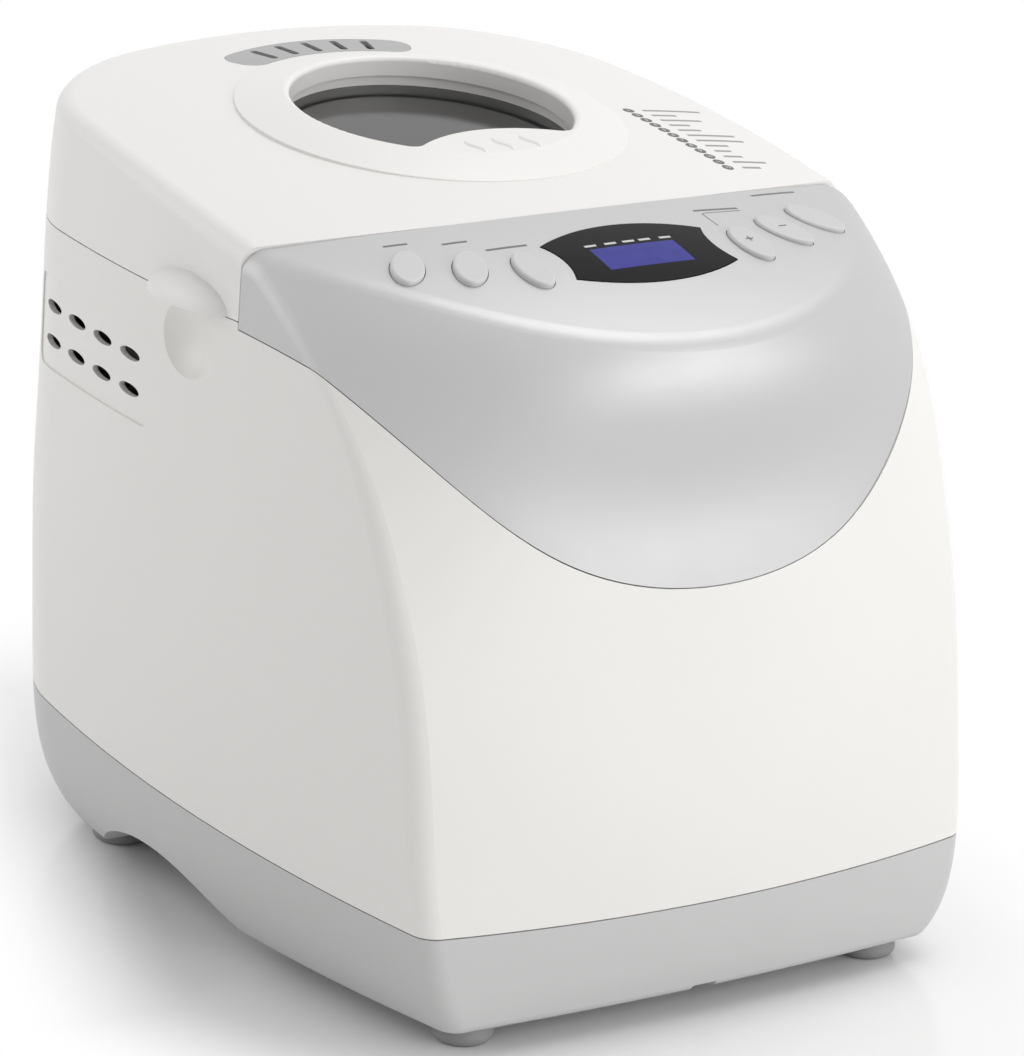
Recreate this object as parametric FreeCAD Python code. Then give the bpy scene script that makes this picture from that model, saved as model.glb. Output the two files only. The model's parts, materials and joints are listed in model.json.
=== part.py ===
# Bread machine with a hinged lid, a lift-out pan and a belt-driven kneading paddle.
# Millimetres, +Z up, the front towards -Y, origin on the table under the middle of the body.
import FreeCAD, Part
import math
import os

V = FreeCAD.Vector
UP = V(0, 0, 1)
os.makedirs("parts", exist_ok=True)

# Walls and fits
wall = 3.0
seam_gap = 0.5
fit_gap = 0.3
running_gap = 0.05
sheet = 1.2

# Outer form: height, half width, front, front radius and back of each level
levels = [
    (9.0, 124.0, -171.0, 1500.0, 156.0),
    (34.0, 136.0, -179.0, 730.0, 168.0),
    (58.0, 138.8, -181.0, 520.0, 171.0),
    (117.0, 138.5, -175.5, 443.0, 176.0),
    (176.0, 138.0, -167.5, 315.0, 175.0),
    (229.0, 138.0, -165.0, 190.0, 171.5),
    (266.0, 137.5, -155.0, 150.0, 169.5),
    (290.0, 137.0, -122.0, 146.0, 166.0),
    (314.0, 136.5, -97.0, 146.0, 160.0),
]
base_bottom = levels[0][0]
base_edge_radius = 6.0
widest_y = -17.0
side_radius = 800.0
back_radius = 420.0
front_corner_radius = 10.0
rear_corner_radius = 78.0

# Top of the lid and of the control deck, each an arc in the side view, crowned across
lid_arc = [(203.0, 311.0), (47.0, 304.3), (-92.0, 281.7)]
deck_arc = [(-27.0, 290.5), (-107.0, 279.2), (-192.0, 243.0)]
crown = 7.9
crown_reach = 121.0
lid_edge_radius = 7.5
crest_radius = 12.0

# Partings between the shells
base_seam = 56.0
base_seam_slope = 0.04
lid_seam = 253.0
lid_line_y = -68.2
lid_line_radius = 453.0
fascia_low = 168.3
fascia_edge = [(64.0, 182.0), (108.0, 217.0), (140.0, 254.0), (165.0, 289.0)]
fascia_skirt = 243.0

# Window, its ring and the steam vent in the lid
ring_y = 37.0
ring_radius = 77.0
ring_foot = -2.0
ring_bulge = (69.0, 0.3)
ring_top_radius = 58.5
ring_rise = 2.9
ring_root = 9.0
ring_edge_radius = 2.0
window_radius = 55.8
window_lip_depth = 5.1
window_recess = 1.8
window_depth = 9.6
window_thickness = 3.0
window_lap = 3.4
window_rest = 2.0
tongue_reach = 32.0
tongue_radius = 57.0
tongue_corner = 5.0
vent_inner_radius = 79.0
vent_outer_radius = 98.0
vent_half_angle = 27.5
vent_corner = 8.0
vent_thickness = 1.6
vent_slot_count = 5
vent_slot_pitch = 8.0
vent_slot_width = 3.4
vent_slot_length = 14.0
liner_drop = 2.0
liner_boss = 4.0
liner_boss_front = (98.0, -22.0)
liner_boss_rear = (88.0, 112.0)
seal_margin = (5.0, 3.0)
seal_lip = 4.0
seal_corner = 12.0

# Display and buttons on the deck
display_y = -105.5
lens_half_width = 36.5
lens_half_height = 12.5
lens_bulge = 9.0
lens_waist = 3.0
lens_thickness = 1.8
lens_proud = 0.3
lcd_width = 40.0
lcd_height = 15.0
lcd_border = 3.0
lcd_shift = (2.5, 2.0)
right_buttons = [(49.6, -107.9, 4.0), (71.5, -99.3, 28.0), (92.9, -90.2, 31.0)]
button_names = ["menu", "crust", "loaf", "time_up", "time_down", "start"]
button_length = 25.0
button_width = 13.0
button_proud = 1.8
button_flange = 1.4
button_flange_height = 1.2
button_travel = 1.2
board_depth = 22.0
board_thickness = 1.6
board_half_width = 108.0
board_rear = 24.0
board_front = 22.0
board_front_half_width = 60.0
board_shoulder = 8.0
board_post_radius = 3.5
rear_post = (25.0, 18.0)
front_post = (72.0, -15.0)
switch_side = 6.0
switch_height = 4.3

# Side grips, vents, cord inlet and feet
tab_y = -12.0
tab_size = (11.0, 27.0, 11.0)
scoop_size = (21.0, 24.0, 20.0)
scoop_out = 14.0
scoop_drop = 15.0
side_vent_y = 32.9
side_vent_pitch = 24.0
side_vent_rows = (207.0, 221.0)
side_vent_count = 4
side_vent_length = 16.5
side_vent_height = 4.8
vent_panel_margin = 9.0
vent_panel_depth = 0.6
grip_y = 13.0
grip_half_width = 61.6
grip_top = 28.5
grip_depth = 20.0
notch_half_width = 5.5
notch_height = 3.0
notch_depth = 5.0
gland_x = 45.0
gland_z = 34.0
gland_radius = 8.0
gland_bore = 4.0
gland_flange = 11.0
gland_depth = 18.0
foot_radius = 11.5
foot_pad_radius = 8.0
front_foot = (94.0, -150.0)
rear_foot = (100.0, 90.0)

# Lid hinge at the back
hinge_y = 175.0
hinge_x = 55.0
knuckle_radius = 6.0
knuckle_width = 24.0
lug_width = 11.0
pin_radius = 2.5
knuckle_gap = 0.5

# Baking chamber, pan and heater
oven_y = 41.0
oven_half_width = 100.0
oven_half_depth = 88.0
oven_floor = 72.0
oven_corner = 6.0
oven_flange = 6.0
oven_shaft_hole = 14.0
standoff_radius = 6.0
standoff_x = 70.0
standoff_reach = 60.0
frame_thickness = 3.0
frame_top = lid_seam - frame_thickness
pan_floor = 92.0
pan_top = 222.0
pan_sheet = 1.5
pan_half_top = (84.0, 70.0)
pan_half_bottom = (78.0, 64.0)
pan_corner = 22.0
pan_rim = 4.0
pan_rim_height = 2.0
skirt_radius = 45.5
skirt_sheet = 3.0
socket_wall = 5.0
socket_height = 14.0
socket_ledge = 3.7
bail_wire = 2.0
bail_drop = 12.0
bail_reach = 78.0
bail_half_width = 95.0
bail_bend = 8.0
bail_ear_bend = 2.8
bail_end = pan_half_top[0] + 1.0
bail_end_gap = 2.0
ear_radius = 6.0
ear_end = 91.0
heater_wire = 3.25
heater_z = 100.0
heater_margin = 9.0
heater_corner = 30.0
heater_tail_x = 14.0
heater_tail_bend = 8.0
heater_tail_length = 22.0
clip_width = 8.0
sensor_x = 55.0
sensor_z = 130.0
sensor_radius = 3.0
sensor_reach = 9.0
sensor_tail = 12.0
sensor_flange = 8.0
sensor_flange_height = 2.0

# Drive: shafts, couplers, belt and motor
shaft_radius = 4.0
coupler_outer = 16.0
coupler_inner = 5.5
coupler_half_angle = 28.0
coupler_plate = 3.5
coupler_mesh = 6.5
bush_radius = 8.6
bush_flange_radius = 13.0
bush_flange = 2.0
bush_length = 14.0
bush_below = 3.0
paddle_hub = 8.5
paddle_hub_height = 16.0
paddle_reach = 46.0
paddle_height = 34.0
paddle_thickness = 6.0
paddle_cap = 2.0
chassis_z = 56.0
chassis_sheet = 2.0
chassis_half_width = 110.0
chassis_front = -142.0
chassis_back = 128.0
chassis_corner = 20.0
post_x = 90.0
post_front_y = -118.0
post_rear_y = 105.0
post_radius = 7.0
screw_radius = 1.5
screw_head = 3.2
screw_head_height = 2.2
screw_spare = 2.0
board_screw_length = 7.0
liner_screw_length = 8.0
chassis_screw_length = 14.0
motor_x = -45.0
motor_y = -112.0
motor_radius = 34.0
motor_height = 72.0
motor_round = 5.0
motor_boss = 13.0
motor_boss_below = 2.0
motor_flange_height = 4.0
motor_ear = 6.0
motor_ear_half_depth = 16.0
motor_ear_corner = 8.0
motor_shaft_radius = 3.0
motor_bore_depth = 20.0
driven_radius = 48.0
driver_radius = 9.0
pulley_flange = 3.0
pulley_flange_height = 1.5
belt_width = 8.0
belt_thickness = 2.0
belt_z = 43.0
shaft_tail = 4.0
shaft_end_gap = 1.0

# Mains board and motor capacitor beside the motor
power_x = (30.0, 100.0)
power_y = (-138.0, -84.0)
power_rise = 8.0
power_leg_radius = 2.5
power_leg_inset = 4.0
transformer_place = (50.0, -118.0)
transformer_size = (24.0, 24.0, 22.4)
relay_place = (80.0, -120.0)
relay_size = (20.0, 16.0, 14.4)
filter_place = (78.0, -98.0)
filter_radius = 6.0
filter_height = 20.4
capacitor_place = (8.0, -96.0)
capacitor_radius = 12.0
capacitor_height = 44.0
capacitor_round = 2.0


def box(x0, x1, y0, y1, z0, z1):
    return Part.makeBox(x1 - x0, y1 - y0, z1 - z0, V(x0, y0, z0))


def rod(radius, start, end):
    along = end.sub(start)
    return Part.makeCylinder(radius, along.Length, start, along)


def post(radius, x, y, z0, z1):
    return rod(radius, V(x, y, z0), V(x, y, z1))


def tube(outer, inner, x, y, z0, z1):
    return post(outer, x, y, z0, z1).cut(post(inner, x, y, z0 - 1, z1 + 1))


def fused(shapes):
    return shapes[0].multiFuse(shapes[1:]).removeSplitter()


def mirrored(shape):
    return shape.mirror(V(0, 0, 0), V(1, 0, 0))


def both_sides(shape):
    return [shape, mirrored(shape)]


def flip(point):
    return V(-point.x, point.y, point.z)


def line(a, b):
    return Part.makeLine(a, b)


def polygon(points):
    return Part.Face(Part.makePolygon(points + [points[0]]))


def save(name, shapes):
    """Write one piece, or a group of like pieces, under its own name."""
    group = shapes if isinstance(shapes, list) else [shapes]
    solids = [solid for shape in group for solid in shape.Solids]
    result = solids[0] if len(solids) == 1 else Part.makeCompound(solids)
    result.exportStep("parts/" + name + ".step")


# Outer form: level outlines of tangent arcs, lofted into walls


def circles_meet(c1, r1, c2, r2, pick):
    """The crossing of two circles that pick scores highest."""
    apart = c2.sub(c1)
    along = (r1 * r1 - r2 * r2 + apart.Length ** 2) / (2 * apart.Length)
    off = math.sqrt(r1 * r1 - along * along)
    unit = V(apart).normalize()
    side = V(-unit.y, unit.x, 0)
    middle = c1 + unit * along
    return max([middle + side * off, middle - side * off], key=pick)


def on_circle(centre, radius, through):
    return centre + V(through.sub(centre)).normalize() * radius


def arc_between(centre, radius, start, end):
    middle = (start.sub(centre) + end.sub(centre)).normalize()
    return Part.Arc(start, centre + middle * radius, end).toShape()


def frontmost(point):
    return point.x - point.y


def rearmost(point):
    return point.x + point.y


def outline(level, inset, round_front):
    """A level's closed outline, drawn in from the outer face by inset."""
    height, half_width, front, front_radius, back = level
    front_c = V(0, front + front_radius, 0)
    side_c = V(half_width - side_radius, widest_y, 0)
    back_c = V(0, back - back_radius, 0)
    rear_c = circles_meet(side_c, side_radius - rear_corner_radius,
                          back_c, back_radius - rear_corner_radius, rearmost)
    side_end = on_circle(side_c, side_radius - inset, rear_c)
    back_end = on_circle(back_c, back_radius - inset, rear_c)
    right = []
    if round_front:
        corner_c = circles_meet(front_c, front_radius - front_corner_radius,
                                side_c, side_radius - front_corner_radius, frontmost)
        front_end = on_circle(front_c, front_radius - inset, corner_c)
        side_start = on_circle(side_c, side_radius - inset, corner_c)
        right.append((corner_c, front_corner_radius - inset, front_end, side_start))
    else:
        front_end = circles_meet(front_c, front_radius - inset, side_c, side_radius - inset, frontmost)
        side_start = front_end
    right.append((side_c, side_radius - inset, side_start, side_end))
    right.append((rear_c, rear_corner_radius - inset, side_end, back_end))
    edges = [arc_between(front_c, front_radius - inset, flip(front_end), front_end)]
    edges += [arc_between(c, r, a, b) for c, r, a, b in right]
    edges.append(arc_between(back_c, back_radius - inset, back_end, flip(back_end)))
    edges += [arc_between(flip(c), r, flip(b), flip(a)) for c, r, a, b in reversed(right)]
    wire = Part.Wire(edges)
    wire.translate(UP * height)
    return wire


def walls(inset, round_front=True):
    return Part.makeLoft([outline(level, inset, round_front) for level in levels], True, False)


def circle_through(points):
    """Centre and radius of the circle through three points of the side view."""
    (ya, za), (yb, zb), (yc, zc) = points
    d = 2 * (ya * (zb - zc) + yb * (zc - za) + yc * (za - zb))
    a, b, c = (y * y + z * z for y, z in points)
    y0 = (a * (zb - zc) + b * (zc - za) + c * (za - zb)) / d
    z0 = (a * (yc - yb) + b * (ya - yc) + c * (yb - ya)) / d
    return y0, z0, math.hypot(ya - y0, za - z0)


def top_height(points, x, y):
    y0, z0, radius = circle_through(points)
    return z0 + math.sqrt(radius ** 2 - (y - y0) ** 2) - crown * (x / crown_reach) ** 2


def top_frame_at(points, y):
    """Axes on the crowned top at x = 0: its own Z stands square to the surface."""
    y0, z0, radius = circle_through(points)
    tilt = math.degrees(math.asin((y0 - y) / radius))
    return FreeCAD.Placement(V(0, y, top_height(points, 0, y)), FreeCAD.Rotation(V(1, 0, 0), tilt))


def placed(shape, placement):
    return shape.transformed(placement.toMatrix())


def under_top(points, drop):
    """Everything under a crowned top, lowered by drop."""
    reach = levels[2][1] + 20
    sections = []
    for share in (-1, -0.5, 0, 0.5, 1):
        x = share * reach
        sink = -crown * (x / crown_reach) ** 2 - drop
        back, middle, front = [V(x, y, z + sink) for y, z in points]
        low_front = V(x, front.y, 0)
        low_back = V(x, back.y, 0)
        sections.append(Part.Wire([Part.Arc(back, middle, front).toShape(), line(front, low_front),
                                   line(low_front, low_back), line(low_back, back)]))
    return Part.makeLoft(sections, True, False)


# Parting blocks: what lies ahead of the lid line, above the fascia's edge, and below a seam

far = 400.0


def ahead_of_lid_line(shift):
    centre = V(0, lid_line_y + shift + lid_line_radius, 0)
    half = levels[2][1] + 30
    end_y = centre.y - math.sqrt(lid_line_radius ** 2 - half ** 2)
    left = V(-half, end_y, 0)
    right = V(half, end_y, 0)
    curve = arc_between(centre, lid_line_radius, left, right)
    wire = Part.Wire([curve, line(right, V(half, -far, 0)), line(V(half, -far, 0), V(-half, -far, 0)),
                      line(V(-half, -far, 0), left)])
    return Part.Face(wire).extrude(UP * far)


def above_fascia_edge(shift):
    rising = [V(x, -far, z + shift) for x, z in fascia_edge]
    low = V(0, -far, fascia_low + shift)
    curve = Part.BSplineCurve()
    curve.interpolate([flip(p) for p in reversed(rising)] + [low] + rising)
    end = rising[-1]
    top = V(end.x, -far, far)
    wire = Part.Wire([curve.toShape(), line(end, top), line(top, flip(top)), line(flip(top), flip(end))])
    return Part.Face(wire).extrude(V(0, 2 * far, 0))


def below_base_seam(shift):
    drop = base_seam_slope * far
    corners = [V(-far, -far, -far), V(-far, far, -far), V(-far, far, base_seam + shift + drop),
               V(-far, -far, base_seam + shift - drop)]
    return polygon(corners).extrude(V(2 * far, 0, 0))


def between(z0, z1):
    return box(-far, far, -far, far, z0, z1)


def wall_edges(shape, first, second):
    """Edges of shape that run where two other shapes' faces cross."""
    found = []
    for edge in shape.Edges:
        middle = Part.Vertex(edge.valueAt((edge.FirstParameter + edge.LastParameter) / 2))
        if all(any(face.distToShape(middle)[0] < 0.02 for face in group) for group in (first, second)):
            found.append(edge)
    return found


outer_walls = walls(0)
inner_walls = walls(wall)
fitted_walls = walls(wall + fit_gap)
sharp_walls = walls(0, False)
sharp_inner = walls(wall, False)
deck_top = under_top(deck_arc, 0)
lid_top = under_top(lid_arc, 0)
deck_axes = top_frame_at(deck_arc, display_y)
ring_axes = top_frame_at(lid_arc, ring_y)


def ellipsoid(centre, size):
    ball = Part.makeSphere(1.0)
    scale = FreeCAD.Matrix()
    scale.scale(V(*size))
    ball = ball.transformGeometry(scale)
    ball.translate(centre)
    return ball


def scoop(grow):
    centre = V(levels[4][1] + scoop_out, tab_y, lid_seam - scoop_drop)
    return ellipsoid(centre, [size + grow for size in scoop_size])


def upright_edges(shape):
    """The edges of an upright prism that stand its whole height."""
    height = shape.BoundBox.ZLength
    return [e for e in shape.Edges if e.BoundBox.ZLength > 0.99 * height]


def rounded_box(x0, x1, y0, y1, z0, z1, radius):
    shape = box(x0, x1, y0, y1, z0, z1)
    upright = upright_edges(shape)
    return shape.makeFillet(radius, upright)


def screw_up(x, y, seat, length, shank=screw_radius):
    """A screw driven upwards, its head under the seat."""
    head = post(screw_head, x, y, seat - screw_head_height, seat)
    return head.fuse(post(shank, x, y, seat, seat + length))


# Base tray with posts for the chassis and a hand grip each side

floor_top = base_bottom + wall
chassis_top = chassis_z + chassis_sheet
post_places = [(sx * post_x, y) for sx in (-1, 1) for y in (post_front_y, post_rear_y)]
gland_inner_y = levels[1][4] - gland_depth
gland_outer_y = levels[1][4] + 1.0


def gland_rod(radius, spare):
    return rod(radius, V(gland_x, gland_inner_y - spare, gland_z), V(gland_x, gland_outer_y + spare, gland_z))


def grip_block(grow, inner_x):
    low_z = base_bottom - wall - 1
    half = grip_half_width + grow
    top = grip_top + grow
    curve = Part.Arc(V(0, grip_y - half, low_z), V(0, grip_y, top), V(0, grip_y + half, low_z)).toShape()
    face = Part.Face(Part.Wire([curve, line(V(0, grip_y + half, low_z), V(0, grip_y - half, low_z))]))
    face.translate(V(inner_x - grow, 0, 0))
    return face.extrude(V(far, 0, 0))


def base_tray():
    outer = outer_walls.common(below_base_seam(-seam_gap / 2)).Solids[0]
    bottom_edges = [e for e in outer.Edges if e.BoundBox.ZMax < base_bottom + 0.1]
    outer = outer.makeFillet(base_edge_radius, bottom_edges).Solids[0]
    shell = outer.cut(inner_walls.common(between(floor_top, far)))
    grip_inner = levels[0][1] - grip_depth
    linings = [outer.common(block) for block in both_sides(grip_block(wall, grip_inner))]
    posts = [post(post_radius, x, y, base_bottom + 1, chassis_z) for x, y in post_places]
    notch_back = levels[0][2] + notch_depth
    pad = box(-notch_half_width - wall, notch_half_width + wall, -far, notch_back + wall,
              base_bottom, floor_top + notch_height)
    shell = fused([shell] + linings + posts + [outer.common(pad)])
    for block in both_sides(grip_block(0, grip_inner)):
        shell = shell.cut(block)
    for x, y in post_places:
        shell = shell.cut(post(screw_radius + fit_gap, x, y, chassis_z - chassis_screw_length, chassis_z + 1))
    notch = box(-notch_half_width, notch_half_width, -far, notch_back, 0, base_bottom + notch_height)
    return shell.cut(notch).cut(gland_rod(gland_radius + fit_gap, far / 20))


def cord_gland():
    cap = gland_rod(gland_flange, 0).cut(walls(-fit_gap))
    return gland_rod(gland_radius, 0).fuse(cap).cut(gland_rod(gland_bore, 1))


def foot(x, y):
    rise = base_bottom / 2
    bulge = V(foot_pad_radius + 0.75 * (foot_radius - foot_pad_radius), 0, 0.25 * rise)
    corner = V(foot_radius, 0, rise)
    profile = Part.Wire([line(V(0, 0, 0), V(foot_pad_radius, 0, 0)),
                         Part.Arc(V(foot_pad_radius, 0, 0), bulge, corner).toShape(),
                         line(corner, V(foot_radius, 0, base_bottom)),
                         line(V(foot_radius, 0, base_bottom), V(0, 0, base_bottom)),
                         line(V(0, 0, base_bottom), V(0, 0, 0))])
    shape = Part.Face(profile).revolve(V(0, 0, 0), UP, 360)
    shape.translate(V(x, y, 0))
    return shape


save("base_tray", base_tray())
save("cord_gland", cord_gland())
for side_name, side in (("left", -1), ("right", 1)):
    save("foot_front_" + side_name, foot(side * front_foot[0], front_foot[1]))
    save("foot_rear_" + side_name, foot(side * rear_foot[0], rear_foot[1]))

# Outer housing with side vents, finger scoops and the hinge lugs

knuckle_low = hinge_x - knuckle_width / 2
knuckle_high = hinge_x + knuckle_width / 2
lug_spans = [(knuckle_low - knuckle_gap - lug_width, knuckle_low - knuckle_gap),
             (knuckle_high + knuckle_gap, knuckle_high + knuckle_gap + lug_width)]
hinge_root = hinge_y - 3 * knuckle_radius


def hinge_barrel(x0, x1, radius):
    return rod(radius, V(x0, hinge_y, lid_seam), V(x1, hinge_y, lid_seam))


def hinge_clearance(x0, x1):
    return hinge_barrel(x0 - knuckle_gap, x1 + knuckle_gap, knuckle_radius + 2 * knuckle_gap)


def side_vent_cuts():
    cuts = []
    for row in side_vent_rows:
        for i in range(side_vent_count):
            y = side_vent_y + i * side_vent_pitch
            oval = Part.Ellipse(V(0, 0, 0), side_vent_length / 2, side_vent_height / 2).toShape()
            face = Part.Face(Part.Wire([oval]))
            face.rotate(V(0, 0, 0), UP, 90)
            face.rotate(V(0, 0, 0), V(0, 1, 0), 90)
            face.translate(V(oven_half_width + 12, y, row))
            cuts.append(face.extrude(V(far, 0, 0)))
    return cuts


def vent_panel_cut():
    half_row = side_vent_height / 2 + vent_panel_margin
    half_slot = side_vent_length / 2 + vent_panel_margin
    last_y = side_vent_y + (side_vent_count - 1) * side_vent_pitch
    panel = box(oven_half_width, far, side_vent_y - half_slot, last_y + half_slot,
                min(side_vent_rows) - half_row, max(side_vent_rows) + half_row)
    along_x = [e for e in panel.Edges if e.BoundBox.XLength > far / 2]
    return panel.makeFillet(vent_panel_margin * 0.6, along_x).cut(walls(vent_panel_depth))


def outer_housing():
    outer = outer_walls.common(between(0, lid_seam - seam_gap / 2)).cut(below_base_seam(seam_gap / 2))
    fascia_space = above_fascia_edge(-seam_gap).common(ahead_of_lid_line(seam_gap))
    outer = outer.cut(fascia_space)
    shell = outer.cut(inner_walls)
    linings = [outer.common(block) for block in both_sides(scoop(wall))]
    lugs = []
    for x0, x1 in lug_spans:
        web = box(x0, x1, hinge_root, hinge_y, lid_seam - 2 * knuckle_radius, lid_seam - seam_gap / 2)
        lugs += both_sides(hinge_barrel(x0, x1, knuckle_radius).fuse(web).cut(inner_walls))
    shell = fused([shell] + linings + lugs)
    cuts = [scoop(0), vent_panel_cut(), hinge_clearance(knuckle_low, knuckle_high)] + side_vent_cuts()
    cuts += [hinge_barrel(x0 - 1, x1 + 1, pin_radius + running_gap / 2) for x0, x1 in lug_spans]
    for cut in cuts:
        shell = shell.cut(cut).cut(mirrored(cut))
    return shell


def hinge_pin():
    return hinge_barrel(lug_spans[0][0], lug_spans[1][1], pin_radius)


save("outer_housing", outer_housing())
save("hinge_pin_right", hinge_pin())
save("hinge_pin_left", mirrored(hinge_pin()))

# Control fascia: bowed front and sloping deck in one moulding

board_bottom = -board_depth - board_thickness
button_places = [(-x, y, -lean) for x, y, lean in reversed(right_buttons)] + right_buttons


def deck_local(x, y):
    """A deck point in the deck's own axes: across, up the slope, and its height there."""
    return deck_axes.inverse().multVec(V(x, y, top_height(deck_arc, x, y)))


def oval_prism(x, y, lean, grow, low, high):
    oval = Part.Ellipse(V(0, 0, 0), button_length / 2 + grow, button_width / 2 + grow).toShape()
    face = Part.Face(Part.Wire([oval]))
    face.rotate(V(0, 0, 0), UP, 90 + lean)
    centre = deck_local(x, y)
    face.translate(V(centre.x, centre.y, low))
    return face.extrude(UP * (high - low))


def lens_prism(grow, low, high):
    """The display window's outline: bulged above and below, waisted at the sides."""
    w = lens_half_width + grow
    h = lens_half_height + grow
    corners = [V(-w, -h, low), V(w, -h, low), V(w, h, low), V(-w, h, low)]
    mids = [V(0, -h - lens_bulge, low), V(w - lens_waist, 0, low),
            V(0, h + lens_bulge, low), V(lens_waist - w, 0, low)]
    edges = [Part.Arc(corners[i], mids[i], corners[(i + 1) % 4]).toShape() for i in range(4)]
    return Part.Face(Part.Wire(edges)).extrude(UP * (high - low))


board_posts = [(sx * x, y) for sx in (-1, 1) for x, y in (rear_post, front_post)]


def lcd_block(grow, low, high):
    """The display's upright block, set a little off the lens's middle."""
    x, y = lcd_shift
    half_x = lcd_width / 2 + grow
    half_y = lcd_height / 2 + grow
    return box(x - half_x, x + half_x, y - half_y, y + half_y, low, high)


def control_fascia():
    solid = sharp_walls.common(deck_top).common(ahead_of_lid_line(0)).common(above_fascia_edge(0)).Solids[0]
    front_face = sharp_walls.Faces[:1]
    solid = solid.makeFillet(crest_radius, wall_edges(solid, front_face, deck_top.Faces[:1])).Solids[0]
    corners = [e for e in wall_edges(solid, front_face, sharp_walls.Faces[1:]) if e.Length > crest_radius]
    solid = solid.makeFillet(front_corner_radius, corners).Solids[0]
    hollow = sharp_inner.common(under_top(deck_arc, wall))
    rear_wall = ahead_of_lid_line(0).cut(ahead_of_lid_line(-wall)).common(between(fascia_skirt, far))
    shell = solid.cut(hollow.cut(rear_wall))
    inside = under_top(deck_arc, wall / 2)
    posts = []
    for x, y in board_posts:
        pillar = post(board_post_radius, x, y, -board_depth, wall)
        posts.append(placed(pillar, deck_axes).common(inside))
    shell = fused([shell] + posts)
    for x, y, lean in button_places:
        hole = oval_prism(x, y, lean, fit_gap, -board_depth / 2 - wall, board_depth)
        shell = shell.cut(placed(hole, deck_axes))
    pocket = placed(lens_prism(fit_gap, -board_depth, board_depth), deck_axes)
    shell = shell.cut(pocket.cut(under_top(deck_arc, lens_thickness - lens_proud)))
    shell = shell.cut(placed(lcd_block(0, -board_depth / 2, wall), deck_axes))
    hole_end = board_bottom + board_screw_length + screw_spare
    for x, y in board_posts:
        shell = shell.cut(placed(post(screw_radius + fit_gap, x, y, board_bottom, hole_end), deck_axes))
    return shell


def display_lens():
    plate = placed(lens_prism(0, -board_depth, board_depth), deck_axes)
    plate = plate.common(under_top(deck_arc, -lens_proud))
    return plate.cut(under_top(deck_arc, lens_thickness - lens_proud - fit_gap / 10))


def button(x, y, lean):
    """An oval cap held by a flange under the deck, with a stem that meets its switch."""
    top = deck_local(x, y).z
    under = top - wall - 2 * fit_gap
    cap = oval_prism(x, y, lean, 0, under - button_flange_height, top + button_proud)
    rim = [e for e in cap.Edges if e.CenterOfMass.z > top + button_proud - 0.01]
    cap = cap.makeFillet(button_proud * 0.6, rim)
    flange = oval_prism(x, y, lean, button_flange, under - button_flange_height, under)
    flange = placed(flange, deck_axes).common(under_top(deck_arc, wall + fit_gap))
    centre = deck_local(x, y)
    stem_end = -board_depth + switch_height + button_travel + fit_gap
    stem = post(switch_side / 3, centre.x, centre.y, stem_end, under)
    return fused([placed(cap, deck_axes), flange, placed(stem, deck_axes)])


def tact_switch(x, y):
    centre = deck_local(x, y)
    half = switch_side / 2
    body_top = -board_depth + 0.8 * switch_height
    case = box(centre.x - half, centre.x + half, centre.y - half, centre.y + half, -board_depth, body_top)
    plunger = post(half / 2, centre.x, centre.y, body_top, -board_depth + switch_height)
    return placed(case.fuse(plunger), deck_axes)


def control_board():
    right = [V(board_front_half_width, -board_front, board_bottom),
             V(board_half_width, board_shoulder, board_bottom),
             V(board_half_width, board_rear, board_bottom)]
    plate = polygon(right + [flip(p) for p in reversed(right)]).extrude(UP * board_thickness)
    for px, py in board_posts:
        plate = plate.cut(post(screw_radius + fit_gap, px, py, board_bottom - 1, 0))
    return placed(plate, deck_axes)


def lcd_module():
    return placed(lcd_block(lcd_border, -board_depth, -wall - 2 * fit_gap), deck_axes)


save("control_fascia", control_fascia())
save("display_lens", display_lens())
save("control_board", control_board())
save("lcd_module", lcd_module())
board_screws = [screw_up(x, y, board_bottom, board_screw_length) for x, y in board_posts]
save("board_screws", [placed(screw, deck_axes) for screw in board_screws])
save("tact_switches", [tact_switch(x, y) for x, y, lean in button_places])
for name, place in zip(button_names, button_places):
    save(name + "_button", button(*place))

# Lid: cover with the window's ring, glass, vent, liner and seal


def ring_cap():
    """The raised ring, its outer slope and the flat inside it, before the window is cut out."""
    recess = window_radius + window_recess
    ledge = recess + window_lap
    inner = ring_radius - wall
    slope = Part.Arc(V(ring_radius, 0, ring_foot), V(ring_bulge[0], 0, ring_bulge[1]),
                     V(ring_top_radius, 0, ring_rise))
    corners = [(ring_top_radius, ring_rise), (0, ring_rise), (0, -window_lip_depth),
               (recess, -window_lip_depth), (recess, -window_depth), (ledge, -window_depth),
               (ledge, ring_rise - wall), (inner, ring_foot - wall), (inner, -ring_root),
               (ring_radius, -ring_root), (ring_radius, ring_foot)]
    points = [V(a, 0, b) for a, b in corners]
    edges = [slope.toShape()] + [line(a, b) for a, b in zip(points, points[1:])]
    return Part.Face(Part.Wire(edges)).revolve(V(0, 0, 0), UP, 360)


def window_opening():
    """The round opening in the ring, less the tongue that reaches into its front."""
    disc = post(window_radius, 0, 0, -far / 8, far / 8)
    bite = post(tongue_radius, 0, -tongue_reach - tongue_radius, -far, far)
    opening = disc.cut(bite)
    corners = [e for e in upright_edges(opening) if e.CenterOfMass.y < -tongue_reach]
    return opening.makeFillet(tongue_corner, corners)


def level_edges(shape, height):
    return [e for e in shape.Edges
            if max(abs(e.BoundBox.ZMin - height), abs(e.BoundBox.ZMax - height)) < fit_gap / 10]


def ring_trim():
    cap = ring_cap().cut(window_opening())
    rim = [e for e in level_edges(cap, ring_rise) if e.BoundBox.XMax < window_radius + fit_gap]
    return cap.makeFillet(ring_edge_radius, rim)


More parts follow.
